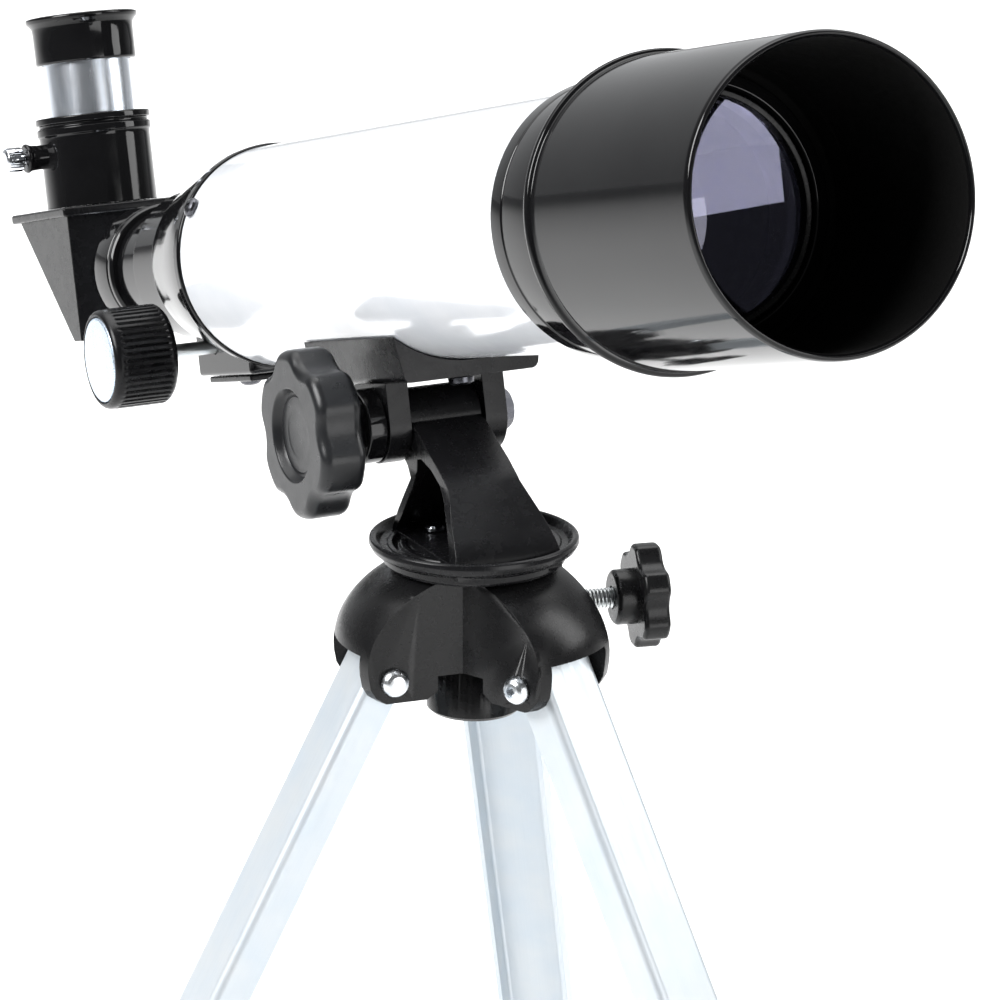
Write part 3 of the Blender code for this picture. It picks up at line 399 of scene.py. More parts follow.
def metal(name, tone, rough_low, rough_high, stretch, strength, turn=None, metallic=1.0):
    """Bare or plated metal with fine lines drawn out along one direction."""
    made, nodes, links, shader = new_material(name)
    bluer = (0.92, 0.96, 1.0)
    lines = noise(nodes, links, stretched(nodes, links, stretch, turn), 1.0, 4.0, 0.6)
    cloud = noise(nodes, links, stretched(nodes, links, (1.0, 1.0, 1.0)), 90.0, 3.0)
    other = tuple(part * share for part, share in zip(tone, bluer))
    mottle(nodes, links, shader, cloud, tone, other)
    links.new(spread(nodes, links, lines, rough_low, rough_high), shader.inputs["Roughness"])
    bump(nodes, links, shader, lines, strength, 0.0001)
    shader.inputs["Metallic"].default_value = metallic
    return made


GLOSS = plastic("gloss_black_plastic", (0.0035, 0.0035, 0.004), (0.006, 0.006, 0.0065), 0.045, 0.10,
                500.0, 0.02, 0.0002, ior=1.37)
SATIN = plastic("satin_black_plastic", (0.0052, 0.0052, 0.0058), (0.0072, 0.0072, 0.0080), 0.22, 0.31,
                2600.0, 0.10, 0.00015, ior=1.30)
HUB = plastic("hub_black_plastic", (0.0055, 0.0055, 0.006), (0.0072, 0.0072, 0.0076), 0.24, 0.31,
              1800.0, 0.09, 0.0002, ior=1.33)
KNOB = plastic("knob_grey_plastic", (0.008, 0.0085, 0.0095), (0.013, 0.0135, 0.015), 0.26, 0.36,
               2200.0, 0.12, 0.0002, ior=1.38)
MATT = plastic("matt_black_lining", (0.0025, 0.0025, 0.0025), (0.005, 0.005, 0.005), 0.75, 0.95,
               1500.0, 0.2, 0.0002, ior=1.25)
RUBBER = plastic("foot_rubber", (0.010, 0.010, 0.010), (0.022, 0.021, 0.020), 0.70, 0.92,
                 900.0, 0.35, 0.0003)
ENAMEL = plastic("white_enamel", (0.65, 0.675, 0.71), (0.71, 0.725, 0.75), 0.10, 0.17,
                 420.0, 0.035, 0.0003, coat=0.5)
CHROME = metal("polished_chrome", (0.80, 0.82, 0.86), 0.05, 0.12, (300.0, 300.0, 900.0), 0.03)
BARREL = metal("brushed_chrome", (0.84, 0.87, 0.92), 0.22, 0.28, (700.0, 700.0, 60.0), 0.02,
               turn=UPRIGHT)
BRIGHT = metal("cap_chrome", (0.58, 0.66, 0.75), 0.22, 0.34, (700.0, 700.0, 700.0), 0.05, metallic=0.7)
NICKEL = metal("satin_nickel", (0.74, 0.75, 0.76), 0.20, 0.32, (900.0, 900.0, 900.0), 0.08)
STEEL = metal("plated_steel", (0.68, 0.69, 0.68), 0.28, 0.40, (900.0, 900.0, 2600.0), 0.12)
DARK_STEEL = metal("blackened_steel", (0.10, 0.10, 0.11), 0.22, 0.36, (900.0, 900.0, 900.0), 0.12)
MIRROR = metal("mirror_face", (0.93, 0.94, 0.95), 0.01, 0.03, (60.0, 60.0, 60.0), 0.0)


def lens_material(name, tone, coating):
    made, nodes, links, shader = new_material(name)
    where = stretched(nodes, links, (1.0, 1.0, 1.0))
    haze = noise(nodes, links, where, 35.0, 3.0)
    mottle(nodes, links, shader, haze, tone, tuple(0.94 * part for part in tone))
    dust = noise(nodes, links, where, 500.0, 5.0, 0.7)
    links.new(spread(nodes, links, dust, 0.004, 0.03), shader.inputs["Roughness"])
    shader.inputs["IOR"].default_value = 1.52
    shader.inputs["Transmission Weight"].default_value = 1.0
    shader.inputs["Specular Tint"].default_value = (*coating, 1.0)
    shader.inputs["Coat Weight"].default_value = 0.2
    shader.inputs["Coat Roughness"].default_value = 0.02
    shader.inputs["Coat IOR"].default_value = 1.8
    return made


LENS = lens_material("coated_glass", (0.86, 0.86, 0.95), (0.72, 0.72, 1.0))
EYE_GLASS = lens_material("eyepiece_glass", (0.80, 0.88, 0.95), (0.6, 0.8, 1.0))

# ------------------------------------------------------------- stand

def make_hub():
    top = -7.0
    widest = -26.2
    wide = 33.0
    tall = 23.3
    start = math.asin((top - widest) / tall)
    steps = 24
    curve = []
    for i in range(steps + 1):
        angle = start * (1.0 - i / steps)
        curve.append((wide * math.cos(angle), widest + tall * math.sin(angle)))
    skirt = [(32.9, -28.0), (32.4, -31.0), (31.2, -33.2), (29.0, -34.8), (20.6, -34.8),
             (18.6, -33.0), (18.6, -29.4), (0.0, -29.4)]
    dome = turned("dome", [(0.0, top)] + curve + skirt, FINE)
    far = 40.0
    arm = [(0.0, -ARM_HALF), (far, -ARM_HALF), (far, ARM_HALF), (0.0, ARM_HALF)]
    hub = lay(prism("hub", arm, -50.0, 0.0), around(LEG_ANGLES["a"]))
    for letter in "bc":
        combine(hub, lay(prism("arm", arm, -50.0, 0.0), around(LEG_ANGLES[letter])), "UNION")
    combine(hub, dome, "INTERSECT")
    boss = [(0.0, -28.0), (11.3, -28.0), (11.3, -41.9), (10.5, -42.7), (0.0, -42.7)]
    combine(hub, turned("boss", boss, MEDIUM), "UNION")
    slot = [(14.6, -60.0), (far, -60.0), (far, -23.4), (30.0, -23.4), (30.0, -21.3), (14.6, -21.3)]
    half = LEG_HALF + 0.4
    for angle in LEG_ANGLES.values():
        combine(hub, lay(prism("slot", slot, -half, half, "Y"), around(angle)), "DIFFERENCE")
        hole = rod("hole", HINGE_HOLE, -20.0, 20.0, "Y", SMALL)
        combine(hub, lay(hole, around(angle) @ moved(24.0, 0.0, -HINGE_BELOW_RIM)), "DIFFERENCE")
    combine(hub, rod("bore", 8.3, -40.0, 5.0), "DIFFERENCE")
    lock = lay(rod("lock", 2.7, 0.0, 30.0, "X", SMALL), around(LOCK_ANGLE) @ moved(0.0, 0.0, LOCK_HEIGHT))
    combine(hub, lock, "DIFFERENCE")
    rounded(hub, 0.5, 3, 34.0)
    settle(hub, "hub_moulding", RIM, "stand_head", HUB, "casting", "tripod_hub")


def channel_outline():
    """Section of a leg: three walls with round corners, open on its inner side."""
    outer = 2.2
    inner = 1.0
    wall = outer - inner
    near = LEG_OUTSIDE - outer
    side = LEG_HALF - outer
    outline = [(LEG_INSIDE, -LEG_HALF)]
    outline += arc((near, -side), outer, -math.pi / 2.0, 0.0, 12)
    outline += arc((near, side), outer, 0.0, math.pi / 2.0, 12)
    outline += [(LEG_INSIDE, LEG_HALF), (LEG_INSIDE, LEG_HALF - wall)]
    outline += arc((near, side), inner, math.pi / 2.0, 0.0, 8)
    outline += arc((near, -side), inner, 0.0, -math.pi / 2.0, 8)
    outline += [(LEG_INSIDE, wall - LEG_HALF)]
    return outline


def make_leg(letter):
    angle = LEG_ANGLES[letter]
    hinge = Matrix.Translation(joint_place(f"leg_{letter}_fold")) @ around(angle)
    swing = hinge @ Matrix.Rotation(-SPLAY, 4, "Y")
    body = f"leg_{letter}_body"

    leg = prism("leg", channel_outline(), 0.1 - LEG_LENGTH, 5.0)
    combine(leg, rod("hole", HINGE_HOLE, -15.0, 15.0, "Y", SMALL), "DIFFERENCE")
    rounded(leg, 0.18, 2, 50.0)
    alloy = metal(f"anodised_alloy_{letter}", (0.60, 0.635, 0.66), 0.36, 0.50, (2400.0, 2400.0, 22.0),
                  0.16, turn=swing, metallic=0.55)
    settle(leg, f"leg_channel_{letter}", swing, body, alloy, "alloy", f"leg_{letter}")

    wall = 1.6
    low = (LEG_INSIDE - wall, -LEG_HALF - wall, -LEG_LENGTH - 30.0)
    high = (LEG_OUTSIDE + wall, LEG_HALF + wall, 14.0 - LEG_LENGTH)
    foot = rounded(block("foot", low, high), 1.5, 5)
    slack = 0.3
    pocket_low = (LEG_INSIDE - slack, -LEG_HALF - slack, -LEG_LENGTH - slack)
    pocket_high = (LEG_OUTSIDE + slack, LEG_HALF + slack, 40.0 - LEG_LENGTH)
    combine(foot, block("pocket", pocket_low, pocket_high), "DIFFERENCE")
    for above_end in (10.8, 8.0, 5.2):
        height = above_end - LEG_LENGTH
        outer = block("groove", (-20.0, -20.0, height - 0.4), (20.0, 20.0, height + 0.4))
        core = block("core", (low[0] + 0.5, low[1] + 0.5, -340.0), (high[0] - 0.5, high[1] - 0.5, -200.0))
        rounded(core, 1.2, 4)
        combine(outer, core, "DIFFERENCE")
        combine(foot, outer, "DIFFERENCE")
    ground = lay(block("ground", (-600.0, -600.0, -300.0), (600.0, 600.0, 0.0)), swing.inverted())
    combine(foot, ground, "DIFFERENCE")
    smoothed(foot, 35.0)
    settle(foot, f"rubber_foot_{letter}", swing, body, RUBBER, "rubber", f"foot_{letter}")

    facing = -1.0 if letter == "a" else 1.0
    face = ARM_HALF + 0.15
    quarter = hinge @ Matrix.Rotation(-math.pi / 2.0 * facing, 4, "X")
    domed = [(0.0, -face - 3.2), (2.1, -face - 3.2), (2.4, -face - 2.9), (2.4, face), (3.4, face),
             (3.4, face + 0.6), (3.15, face + 1.3), (2.7, face + 1.9), (2.0, face + 2.35),
             (1.0, face + 2.58), (0.0, face + 2.6)]
    screw = turned("screw", domed, SMALL, 0.1, 50.0)
    if letter != "c":
        combine(screw, prism("socket", circle(1.45, 6), face + 1.2, face + 6.0), "DIFFERENCE")
        smoothed(screw)
    settle(screw, f"hinge_pin_{letter}", quarter, "stand_head", NICKEL, "steel", f"hinge_screw_{letter}")
    crown = [(0.0, -face - 2.8), (3.7, -face - 2.8), (4.25, -face - 2.4), (4.25, -face - 0.4),
             (3.7, -face), (0.0, -face)]
    settle(hexagon_nut(4.2, crown, 2.7), f"hexagon_nut_{letter}", quarter, "stand_head", STEEL, "steel",
           f"hinge_nut_{letter}")


def fluted_outline(radius, bite, reach):
    """Six lobes of one radius, with round bites whose centres lie at reach."""
    lobes = 6
    outline = []
    cos_half = (radius ** 2 + reach ** 2 - bite ** 2) / (2.0 * radius * reach)
    half = math.acos(cos_half)
    pitch = 2.0 * math.pi / lobes
    for i in range(lobes):
        middle = i * pitch
        centre = (reach * math.cos(middle), reach * math.sin(middle))
        edge = (radius * math.cos(middle - half), radius * math.sin(middle - half))
        start = math.atan2(edge[1] - centre[1], edge[0] - centre[0])
        back = middle + math.pi
        swing = (start - back + math.pi) % (2.0 * math.pi) - math.pi
        outline += arc(centre, bite, back + swing, back - swing, 12)[:-1]
        outline += arc((0.0, 0.0), radius, middle + half, middle + pitch - half, 10)[:-1]
    # Each bite runs softly into its lobes
    for _ in range(4):
        before = outline[-1:] + outline[:-1]
        after = outline[1:] + outline[:1]
        outline = [((a[0] + 2.0 * b[0] + c[0]) / 4.0, (a[1] + 2.0 * b[1] + c[1]) / 4.0)
                   for a, b, c in zip(before, outline, after)]
    return outline


def star_knob(outline, levels):
    """A hand knob swept from its outline: each level is (distance along X, inset from the outline)."""
    shape = bmesh.new()
    rings = []
    for height, inset in levels:
        ring = []
        for x, y in outline:
            reach = math.hypot(x, y)
            factor = (reach - inset) / reach
            ring.append(shape.verts.new((height * MM, x * factor * MM, y * factor * MM)))
        rings.append(ring)
    for lower, upper in zip(rings, rings[1:]):
        bridge(shape, lower, upper)
    shape.faces.new(rings[0])
    shape.faces.new(rings[-1])
    return as_object(shape, "knob", 50.0)


def round_edge(low, high, size, steps=6):
    """Levels for a knob whose two faces meet its edge in quarter rounds."""
    levels = []
    for i in range(steps + 1):
        turn = math.pi / 2.0 * i / steps
        levels.append((low + size * (1.0 - math.cos(turn)), size * (1.0 - math.sin(turn))))
    for i in range(steps + 1):
        turn = math.pi / 2.0 * (1.0 - i / steps)
        levels.append((high - size * (1.0 - math.cos(turn)), size * (1.0 - math.sin(turn))))
    return levels


def make_azimuth_lock():
    place = RIM @ moved(0.0, 0.0, LOCK_HEIGHT) @ around(LOCK_ANGLE)
    knob = star_knob(fluted_outline(12.6, 6.0, 16.4), round_edge(38.4, 44.8, 1.1))
    neck = [(0.0, 33.4), (5.9, 33.4), (6.6, 34.1), (6.6, 39.6), (0.0, 39.6)]
    combine(knob, lay(turned("neck", neck, MEDIUM, 0.4), RIGHTWARD), "UNION")
    dish = lay(turned("dish", [(0.0, 44.2), (5.2, 44.2), (5.9, 46.0), (0.0, 46.0)], MEDIUM), RIGHTWARD)
    combine(knob, dish, "DIFFERENCE")
    combine(knob, rod("seat", 2.8, 20.0, 42.0, "X", SMALL), "DIFFERENCE")
    smoothed(knob)
    settle(knob, "azimuth_knob_moulding", place, "azimuth_lock", HUB, "casting", "azimuth_knob")
    bolt = threaded("bolt", 2.5, 7.4, 41.6, 0.9, 0.34)
    settle(bolt, "azimuth_threaded_bolt", place @ RIGHTWARD, "azimuth_lock", STEEL, "steel", "azimuth_bolt")


def make_yoke():
    disc = [(0.0, -6.5), (20.6, -6.5), (21.4, -5.7), (21.6, -4.2), (23.9, -2.9), (24.6, -1.5), (24.4, -0.4),
            (23.7, 0.0), (22.9, -0.4), (21.9, -2.0), (20.4, -2.1), (20.1, -1.7), (19.0, -1.7), (18.7, -2.3),
            (17.6, -2.6), (17.2, -1.9), (16.0, -1.9), (15.6, -2.6), (13.4, -2.7), (13.1, -2.4), (12.4, -2.4),
            (12.1, -2.8), (0.0, -2.8)]
    yoke = turned("yoke", disc, FINE, 0.25)
    pivot = (joint_place("altitude_tilt") - joint_place("azimuth_turn")) / MM
    side = [(-19.3, -4.5), (-18.7, -2.0), (-17.6, 1.0), (-15.0, 4.0), (-11.8, 7.0), (-8.4, 10.6), (-4.6, 13.9),
            (0.4, 16.9), (6.0, 19.6), (11.0, 22.4)]
    side += arc(pivot.yz, 7.8, math.radians(168.0), math.radians(-110.0), 60)
    side += [(13.8, 11.0), (14.4, 7.0), (15.4, 3.5), (16.4, -1.0), (17.0, -4.5)]
    wide = 13.4
    neck = prism("neck", side, -wide, wide, "X")
    front = [(-wide, -4.5), (-wide, -1.0), (-12.4, 3.4), (-11.4, 7.0), (-10.1, 10.4), (-9.2, 13.2),
             (-9.2, 40.0), (9.2, 40.0), (9.2, 13.2), (10.1, 10.4), (11.4, 7.0), (12.4, 3.4),
             (wide, -1.0), (wide, -4.5)]
    combine(neck, prism("taper", front, -40.0, 40.0, "Y"), "INTERSECT")
    hollow = [(-15.0, -1.4), (-12.6, 2.6), (-9.6, 6.2), (-5.8, 9.8), (-1.6, 12.6), (4.0, 15.4), (9.4, 16.6),
              (11.4, 16.0), (11.6, 12.0), (11.2, 9.0), (12.6, 3.0), (14.4, -1.4)]
    combine(neck, prism("hollow", hollow, -20.0, 5.6, "X"), "DIFFERENCE")
    rounded(neck, 0.55, 3, 40.0)
    combine(yoke, neck, "UNION")
    combine(yoke, lay(rod("pin_hole", 2.75, -20.0, 20.0, "X", SMALL), moved(*pivot)), "DIFFERENCE")
    smoothed(yoke, 34.0)
    settle(yoke, "yoke_moulding", RIM, "yoke_body", SATIN, "casting", "yoke")

    pan = [(0.0, -1.1), (2.6, -1.1), (2.6, -0.3), (2.2, 0.2), (1.2, 0.55), (0.0, 0.6)]
    screw = cross_recess(turned("screw", pan, SMALL, 0.1), -0.1, 1.3, 0.25, 0.3)
    settle(screw, "yoke_cross_screw", RIM @ moved(-5.4, 10.2, 0.0), "yoke_body", CHROME, "steel",
           "yoke_screw")
    spindle = [(0.0, -6.8), (8.0, -6.8), (8.0, -15.4), (6.9, -16.0), (6.9, -20.8), (8.0, -21.4), (8.0, -38.6),
               (7.2, -39.4), (0.0, -39.4)]
    settle(turned("spindle", spindle, MEDIUM, 0.15), "turned_spindle", RIM, "yoke_body", STEEL, "steel",
           "azimuth_spindle")


# ------------------------------------------------------------- tilt head

def make_saddle():
    half = 18.8
    foot = 17.2
    low = 9.6
    corner = 2.0
    lug_round = 9.2
    outline = [(-half, 30.0), (-half, 20.0)]
    outline += arc((-foot + corner, low + corner), corner, math.radians(188.0), 1.5 * math.pi, 10)
    outline += arc((foot - corner, low + corner), corner, -0.5 * math.pi, math.radians(-8.0), 10)
    outline += [(half, 20.0), (half, 30.0)]
    saddle = prism("saddle", outline, -25.1, 28.5, "Y")
    for side in (-1.0, 1.0):
        lug = arc((0.0, 0.0), lug_round, math.pi, 2.0 * math.pi, 40)
        lug = [(-lug_round, 12.0)] + lug + [(lug_round, 12.0)]
        low_x, high_x = sorted((side * 9.5, side * 15.2))
        combine(saddle, prism("lug", lug, low_x, high_x, "X"), "UNION")
    cradle = rod("cradle", TUBE_RADIUS + 0.3, -60.0, 60.0, "Y", FINEST)
    combine(saddle, lay(cradle, moved(0.0, 0.0, AXIS_ABOVE_PIVOT)), "DIFFERENCE")
    combine(saddle, rod("lug_hole", 2.9, -30.0, 30.0, "X", SMALL), "DIFFERENCE")
    rounded(saddle, 0.45, 3, 40.0)
    settle(saddle, "saddle_moulding", HEAD, "optical_tube", SATIN, "black", "saddle")
    screw = [(0.0, 0.7), (1.2, 0.7), (1.8, 0.0), (2.9, 0.5), (3.1, 1.8), (0.0, 1.8)]
    for name, spot in (("front", -18.5), ("rear", 20.5)):
        settle(turned("screw", screw, SMALL, 0.1), f"saddle_pan_screw_{name}", HEAD @ moved(0.0, spot, 7.5),
               "optical_tube", DARK_STEEL, "steel", f"saddle_screw_{name}")

    knob = star_knob(fluted_outline(19.9, 10.4, 27.9), round_edge(-36.4, -25.2, 2.6, 8))
    dish = [(0.0, -39.0), (12.4, -39.0), (11.5, -36.5), (10.9, -36.1), (10.4, -34.9), (9.9, -34.3),
            (9.2, -34.2), (8.8, -34.5), (6.0, -34.5), (5.7, -34.3), (0.0, -34.3)]
    combine(knob, lay(turned("dish", dish, FINE), RIGHTWARD), "DIFFERENCE")
    combine(knob, rod("hub", 5.0, -26.4, -17.6, "X", MEDIUM), "UNION")
    combine(knob, rod("seat", 2.9, -31.0, 0.0, "X", SMALL), "DIFFERENCE")
    rounded(knob, 0.35, 2, 45.0)
    settle(knob, "altitude_knob_moulding", HEAD, "altitude_lock", KNOB, "casting", "altitude_knob")

    end = -15.5
    spacer = [(2.9, end), (2.9, end - 1.2), (6.0, end - 1.2), (6.2, end - 4.8), (8.4, end - 4.8),
              (8.8, end - 4.2), (8.8, end)]
    settle(turned("spacer", spacer, MEDIUM, 0.3), "altitude_cup_washer", HEAD @ RIGHTWARD, "optical_tube",
           GLOSS, "black", "altitude_spacer")
    settle(threaded("bolt", 2.6, -30.6, 20.4, 0.8, 0.25), "altitude_threaded_bolt", HEAD @ RIGHTWARD,
           "altitude_lock", STEEL, "steel", "altitude_bolt")
    crown = [(0.0, 15.5), (5.05, 15.5), (5.05, 18.8), (4.4, 19.3), (0.0, 19.3)]
    nut = hexagon_nut(5.0, crown, 2.9)
    settle(nut, "altitude_hexagon_nut", HEAD @ RIGHTWARD, "optical_tube", DARK_STEEL, "steel", "altitude_nut")


# ------------------------------------------------------------- optical tube

def on_axis(name, profile, body, finish, slot, *nodes, steps=FINE, ease=0.0, sharp=32.0):
    made = turned(name, profile, steps, ease, sharp)
    return settle(made, name, OPTICS @ REARWARD, body, finish, slot, *nodes)


def sag(radius, curvature):
    return curvature - math.sqrt(curvature ** 2 - radius ** 2)


def lens_face(vertex, curvature):
    """Profile of one face of the objective, from its vertex out to the rim."""
    steps = 16
    points = []
    for i in range(steps + 1):
        reach = LENS_RADIUS * i / steps
        points.append((reach, vertex + math.copysign(sag(reach, abs(curvature)), curvature)))
    return points


def make_front():
    front = -190.5
    rear = -122.0
    bore = 30.3
    shade = on_axis("dew_shade_shell", [
        (bore, front + 1.4), (bore + 0.35, front + 0.4), (31.05, front + 0.02), (31.6, front + 0.5),
        (31.85, front + 1.5), (32.75, rear - 3.4), (33.0, rear - 2.4), (33.7, rear - 2.0), (33.95, rear - 1.3),
        (33.85, rear - 0.5), (33.4, rear), (28.9, rear), (28.9, rear - 14.5), (bore, rear - 15.6),
        (bore, rear - 22.0), (bore + 0.15, rear - 22.2), (bore + 0.15, rear - 22.8), (bore, rear - 23.0)],
        "dew_shade", GLOSS, "black", "dew_shield", steps=FINEST, ease=0.25)
    lined(shade, bore + 0.5, front + 1.2, rear + 0.5)
    on_axis("objective_cell_ring", [
        (25.3, -137.5), (25.8, -138.0), (28.1, -138.0), (28.6, -137.5), (28.6, -121.4), (29.8, -121.2),
        (29.8, -104.0), (29.55, -103.7), (29.55, -103.1), (29.8, -102.8), (29.8, -98.0), (29.2, -97.0),
        (28.3, -97.0), (28.3, -116.0), (23.2, -116.0), (23.2, -124.7), (25.3, -124.7)],
        "optical_tube", GLOSS, "black", "objective_cell", ease=0.3)
    on_axis("lens_retaining_ring", [
        (23.4, -134.9), (23.6, -137.1), (24.7, -137.4), (25.0, -137.1), (25.0, -134.3), (24.0, -134.3)],
        "optical_tube", SATIN, "matt", "lens_retainer", ease=0.15)
    crown_front = lens_face(-135.9, 158.0)
    crown_rear = lens_face(-128.6, -150.0)
    on_axis("crown_element", crown_front + crown_rear[::-1], "optical_tube", LENS, "glass", "lens_crown")
    flint_front = lens_face(-128.3, -150.0)
    flint_rear = lens_face(-125.4, 900.0)
    on_axis("flint_element", flint_front + flint_rear[::-1], "optical_tube", LENS, "glass", "lens_flint")
    inside = TUBE_RADIUS - 1.0
    outside = [(TUBE_RADIUS, spot) for spot in (-115.7, -60.0, 0.0, 60.0, 90.6)]
    tube = on_axis("tube_barrel", [(inside, -115.7)] + outside + [(TUBE_RADIUS - 0.3, 91.0), (inside, 91.0)],
                   "optical_tube", ENAMEL, "white", "main_tube", steps=FINEST)
    lined(tube, inside + 0.2, -200.0, 200.0)
    on_axis("tube_stop", [
        (18.0, -20.0), (26.7, -20.0), (26.7, -12.0), (25.7, -12.0), (25.7, -18.8), (18.4, -18.8)],
        "optical_tube", MATT, "matt", "tube_baffle", ease=0.2)


def make_rear_cell():
    cell = turned("cell", [
        (15.9, 80.0), (26.7, 80.0), (26.7, 91.3), (28.3, 91.3), (28.6, 91.8), (28.5, 94.6), (27.6, 96.2),
        (27.3, 99.5), (26.8, 103.0), (25.9, 108.5), (24.8, 114.0), (23.7, 120.0), (22.6, 126.0),
        (22.0, 128.0), (20.3, 128.6), (20.1, 138.0), (20.0, 147.7), (19.4, 148.5), (15.9, 148.5)], FINE, 0.4)
    lay(cell, REARWARD)
    housing = rounded(block("housing", (-12.0, 92.0, -29.0), (12.0, 129.0, -14.0)), 1.0, 4)
    combine(cell, housing, "UNION")
    combine(cell, rod("bore", 15.9, 70.0, 160.0, "Y", FINE), "DIFFERENCE")
    combine(cell, block("rack_slot", (-3.3, 70.0, -18.6), (3.3, 160.0, -10.0)), "DIFFERENCE")
    combine(cell, block("chamber", (-6.3, PINION_Y - 5.6, -40.0), (6.3, PINION_Y + 5.6, -10.0)), "DIFFERENCE")
    hole = lay(rod("shaft_hole", 2.1, -30.0, 30.0, "X", SMALL), moved(0.0, PINION_Y, -PINION_DROP))
    combine(cell, hole, "DIFFERENCE")
    smoothed(cell, 34.0)
    settle(cell, "rear_cell_moulding", OPTICS, "optical_tube", GLOSS, "black", "rear_cell")
    plate = rounded(block("plate", (-10.0, 98.0, -30.9), (10.0, 127.0, -29.3)), 0.5, 4)
    settle(plate, "pinion_cover_plate", OPTICS, "optical_tube", SATIN, "black", "pinion_plate")
    pan = [(0.0, 0.0), (1.2, 0.05), (2.2, 0.4), (2.75, 0.9), (2.9, 1.5), (0.0, 1.5)]
    for name, spot in (("front", 102.0), ("rear", 123.4)):
        settle(turned("pan", pan, SMALL, 0.1), f"plate_pan_screw_{name}", OPTICS @ moved(0.0, spot, -32.7),
               "optical_tube", DARK_STEEL, "black", f"plate_screw_{name}")
    for letter, angle in (("a", 150.0), ("b", 30.0), ("c", -90.0)):
        place = (OPTICS @ moved(0.0, 87.2, 0.0) @ Matrix.Rotation(-math.radians(angle), 4, "Y")
                 @ Matrix.Rotation(math.pi / 2.0, 4, "Y"))
        head = 28.3
        round_head = [(0.0, head), (2.5, head), (2.5, head + 0.6), (2.2, head + 1.2), (1.6, head + 1.6),
                      (0.8, head + 1.78), (0.0, head + 1.8)]
        screw = cross_recess(turned("screw", round_head, SMALL, 0.08), head + 0.9, 1.4, 0.28, 0.4)
        settle(screw, f"cell_pan_screw_{letter}", place, "optical_tube", DARK_STEEL, "black",
               f"cell_screw_{letter}")


# ------------------------------------------------------------- focuser

def make_focuser():
    on_axis("draw_tube_barrel", [(14.4, 60.0), (15.3, 60.0), (15.6, 60.3), (15.6, 172.0), (14.4, 172.0)],
            "focus_tube", GLOSS, "black", "drawtube", steps=MEDIUM)
    collar = [(SLEEVE_BORE, 172.3), (16.8, 172.3), (17.5, 173.0), (17.5, 174.6), (17.1, 174.9), (17.1, 175.5),
              (17.5, 175.8), (17.6, 185.0), (17.0, 185.8), (SLEEVE_BORE, 185.8)]
    on_axis("draw_tube_end_collar", collar, "focus_tube", GLOSS, "black", "drawtube_collar", ease=0.25)

    pitch = 2.0 * math.pi * PINION_RADIUS / PINION_TEETH
    tip = -PINION_DROP + PINION_RADIUS - 0.5
    root = tip + 1.0
    back = root + 0.8
    rack_teeth = 31
    start = PINION_Y - 18 * pitch
    end = start + (rack_teeth - 0.5) * pitch
    outline = [(start - pitch / 2.0, back), (start - pitch / 2.0, root)]
    for i in range(rack_teeth):
        middle = start + i * pitch
        outline += [(middle - 0.27 * pitch, root), (middle - 0.11 * pitch, tip),
                    (middle + 0.11 * pitch, tip), (middle + 0.27 * pitch, root)]
    outline += [(end, root), (end, back)]
    rack = rounded(prism("rack", outline, -2.7, 2.7, "X"), 0.08, 1, 40.0)
    settle(rack, "toothed_rack", OPTICS, "focus_tube", STEEL, "steel", "focus_rack")

    outline = []
    step = 2.0 * math.pi / PINION_TEETH
    inner = PINION_RADIUS - 0.75
    outer = PINION_RADIUS + 0.5
    for i in range(PINION_TEETH):
        middle = math.pi / 2.0 + (i + 0.5) * step
        for radius, share in ((inner, -0.25), (outer, -0.09), (outer, 0.09), (inner, 0.25)):
            angle = middle + share * step
            outline.append((radius * math.cos(angle), radius * math.sin(angle)))
    shaft = prism("shaft", outline, -5.8, 5.8, "X")
    bar = [(0.0, -41.0), (1.5, -41.0), (1.8, -40.7), (1.8, 40.7), (1.5, 41.0), (0.0, 41.0)]
    combine(shaft, lay(turned("bar", bar, SMALL), RIGHTWARD), "UNION")
    smoothed(shaft, 34.0)
    settle(shaft, "pinion_and_shaft", PINION, "focus_pinion", STEEL, "steel", "pinion_shaft")

    for name, sideways in (("left", LEFTWARD), ("right", RIGHTWARD)):
        place = PINION @ sideways
        settle(ribbed_wheel(), f"focus_wheel_{name}", place, "focus_pinion", SATIN, "black",
               f"focus_knob_{name}")
        cap = turned("cap", [(0.0, 42.7), (10.8, 42.7), (10.8, 43.4), (10.4, 43.7), (7.0, 43.88), (0.0, 44.0)],
                     MEDIUM, 0.15, 50.0)
        settle(cap, f"focus_wheel_cap_{name}", place, "focus_pinion", BRIGHT, "chrome", f"knob_cap_{name}")


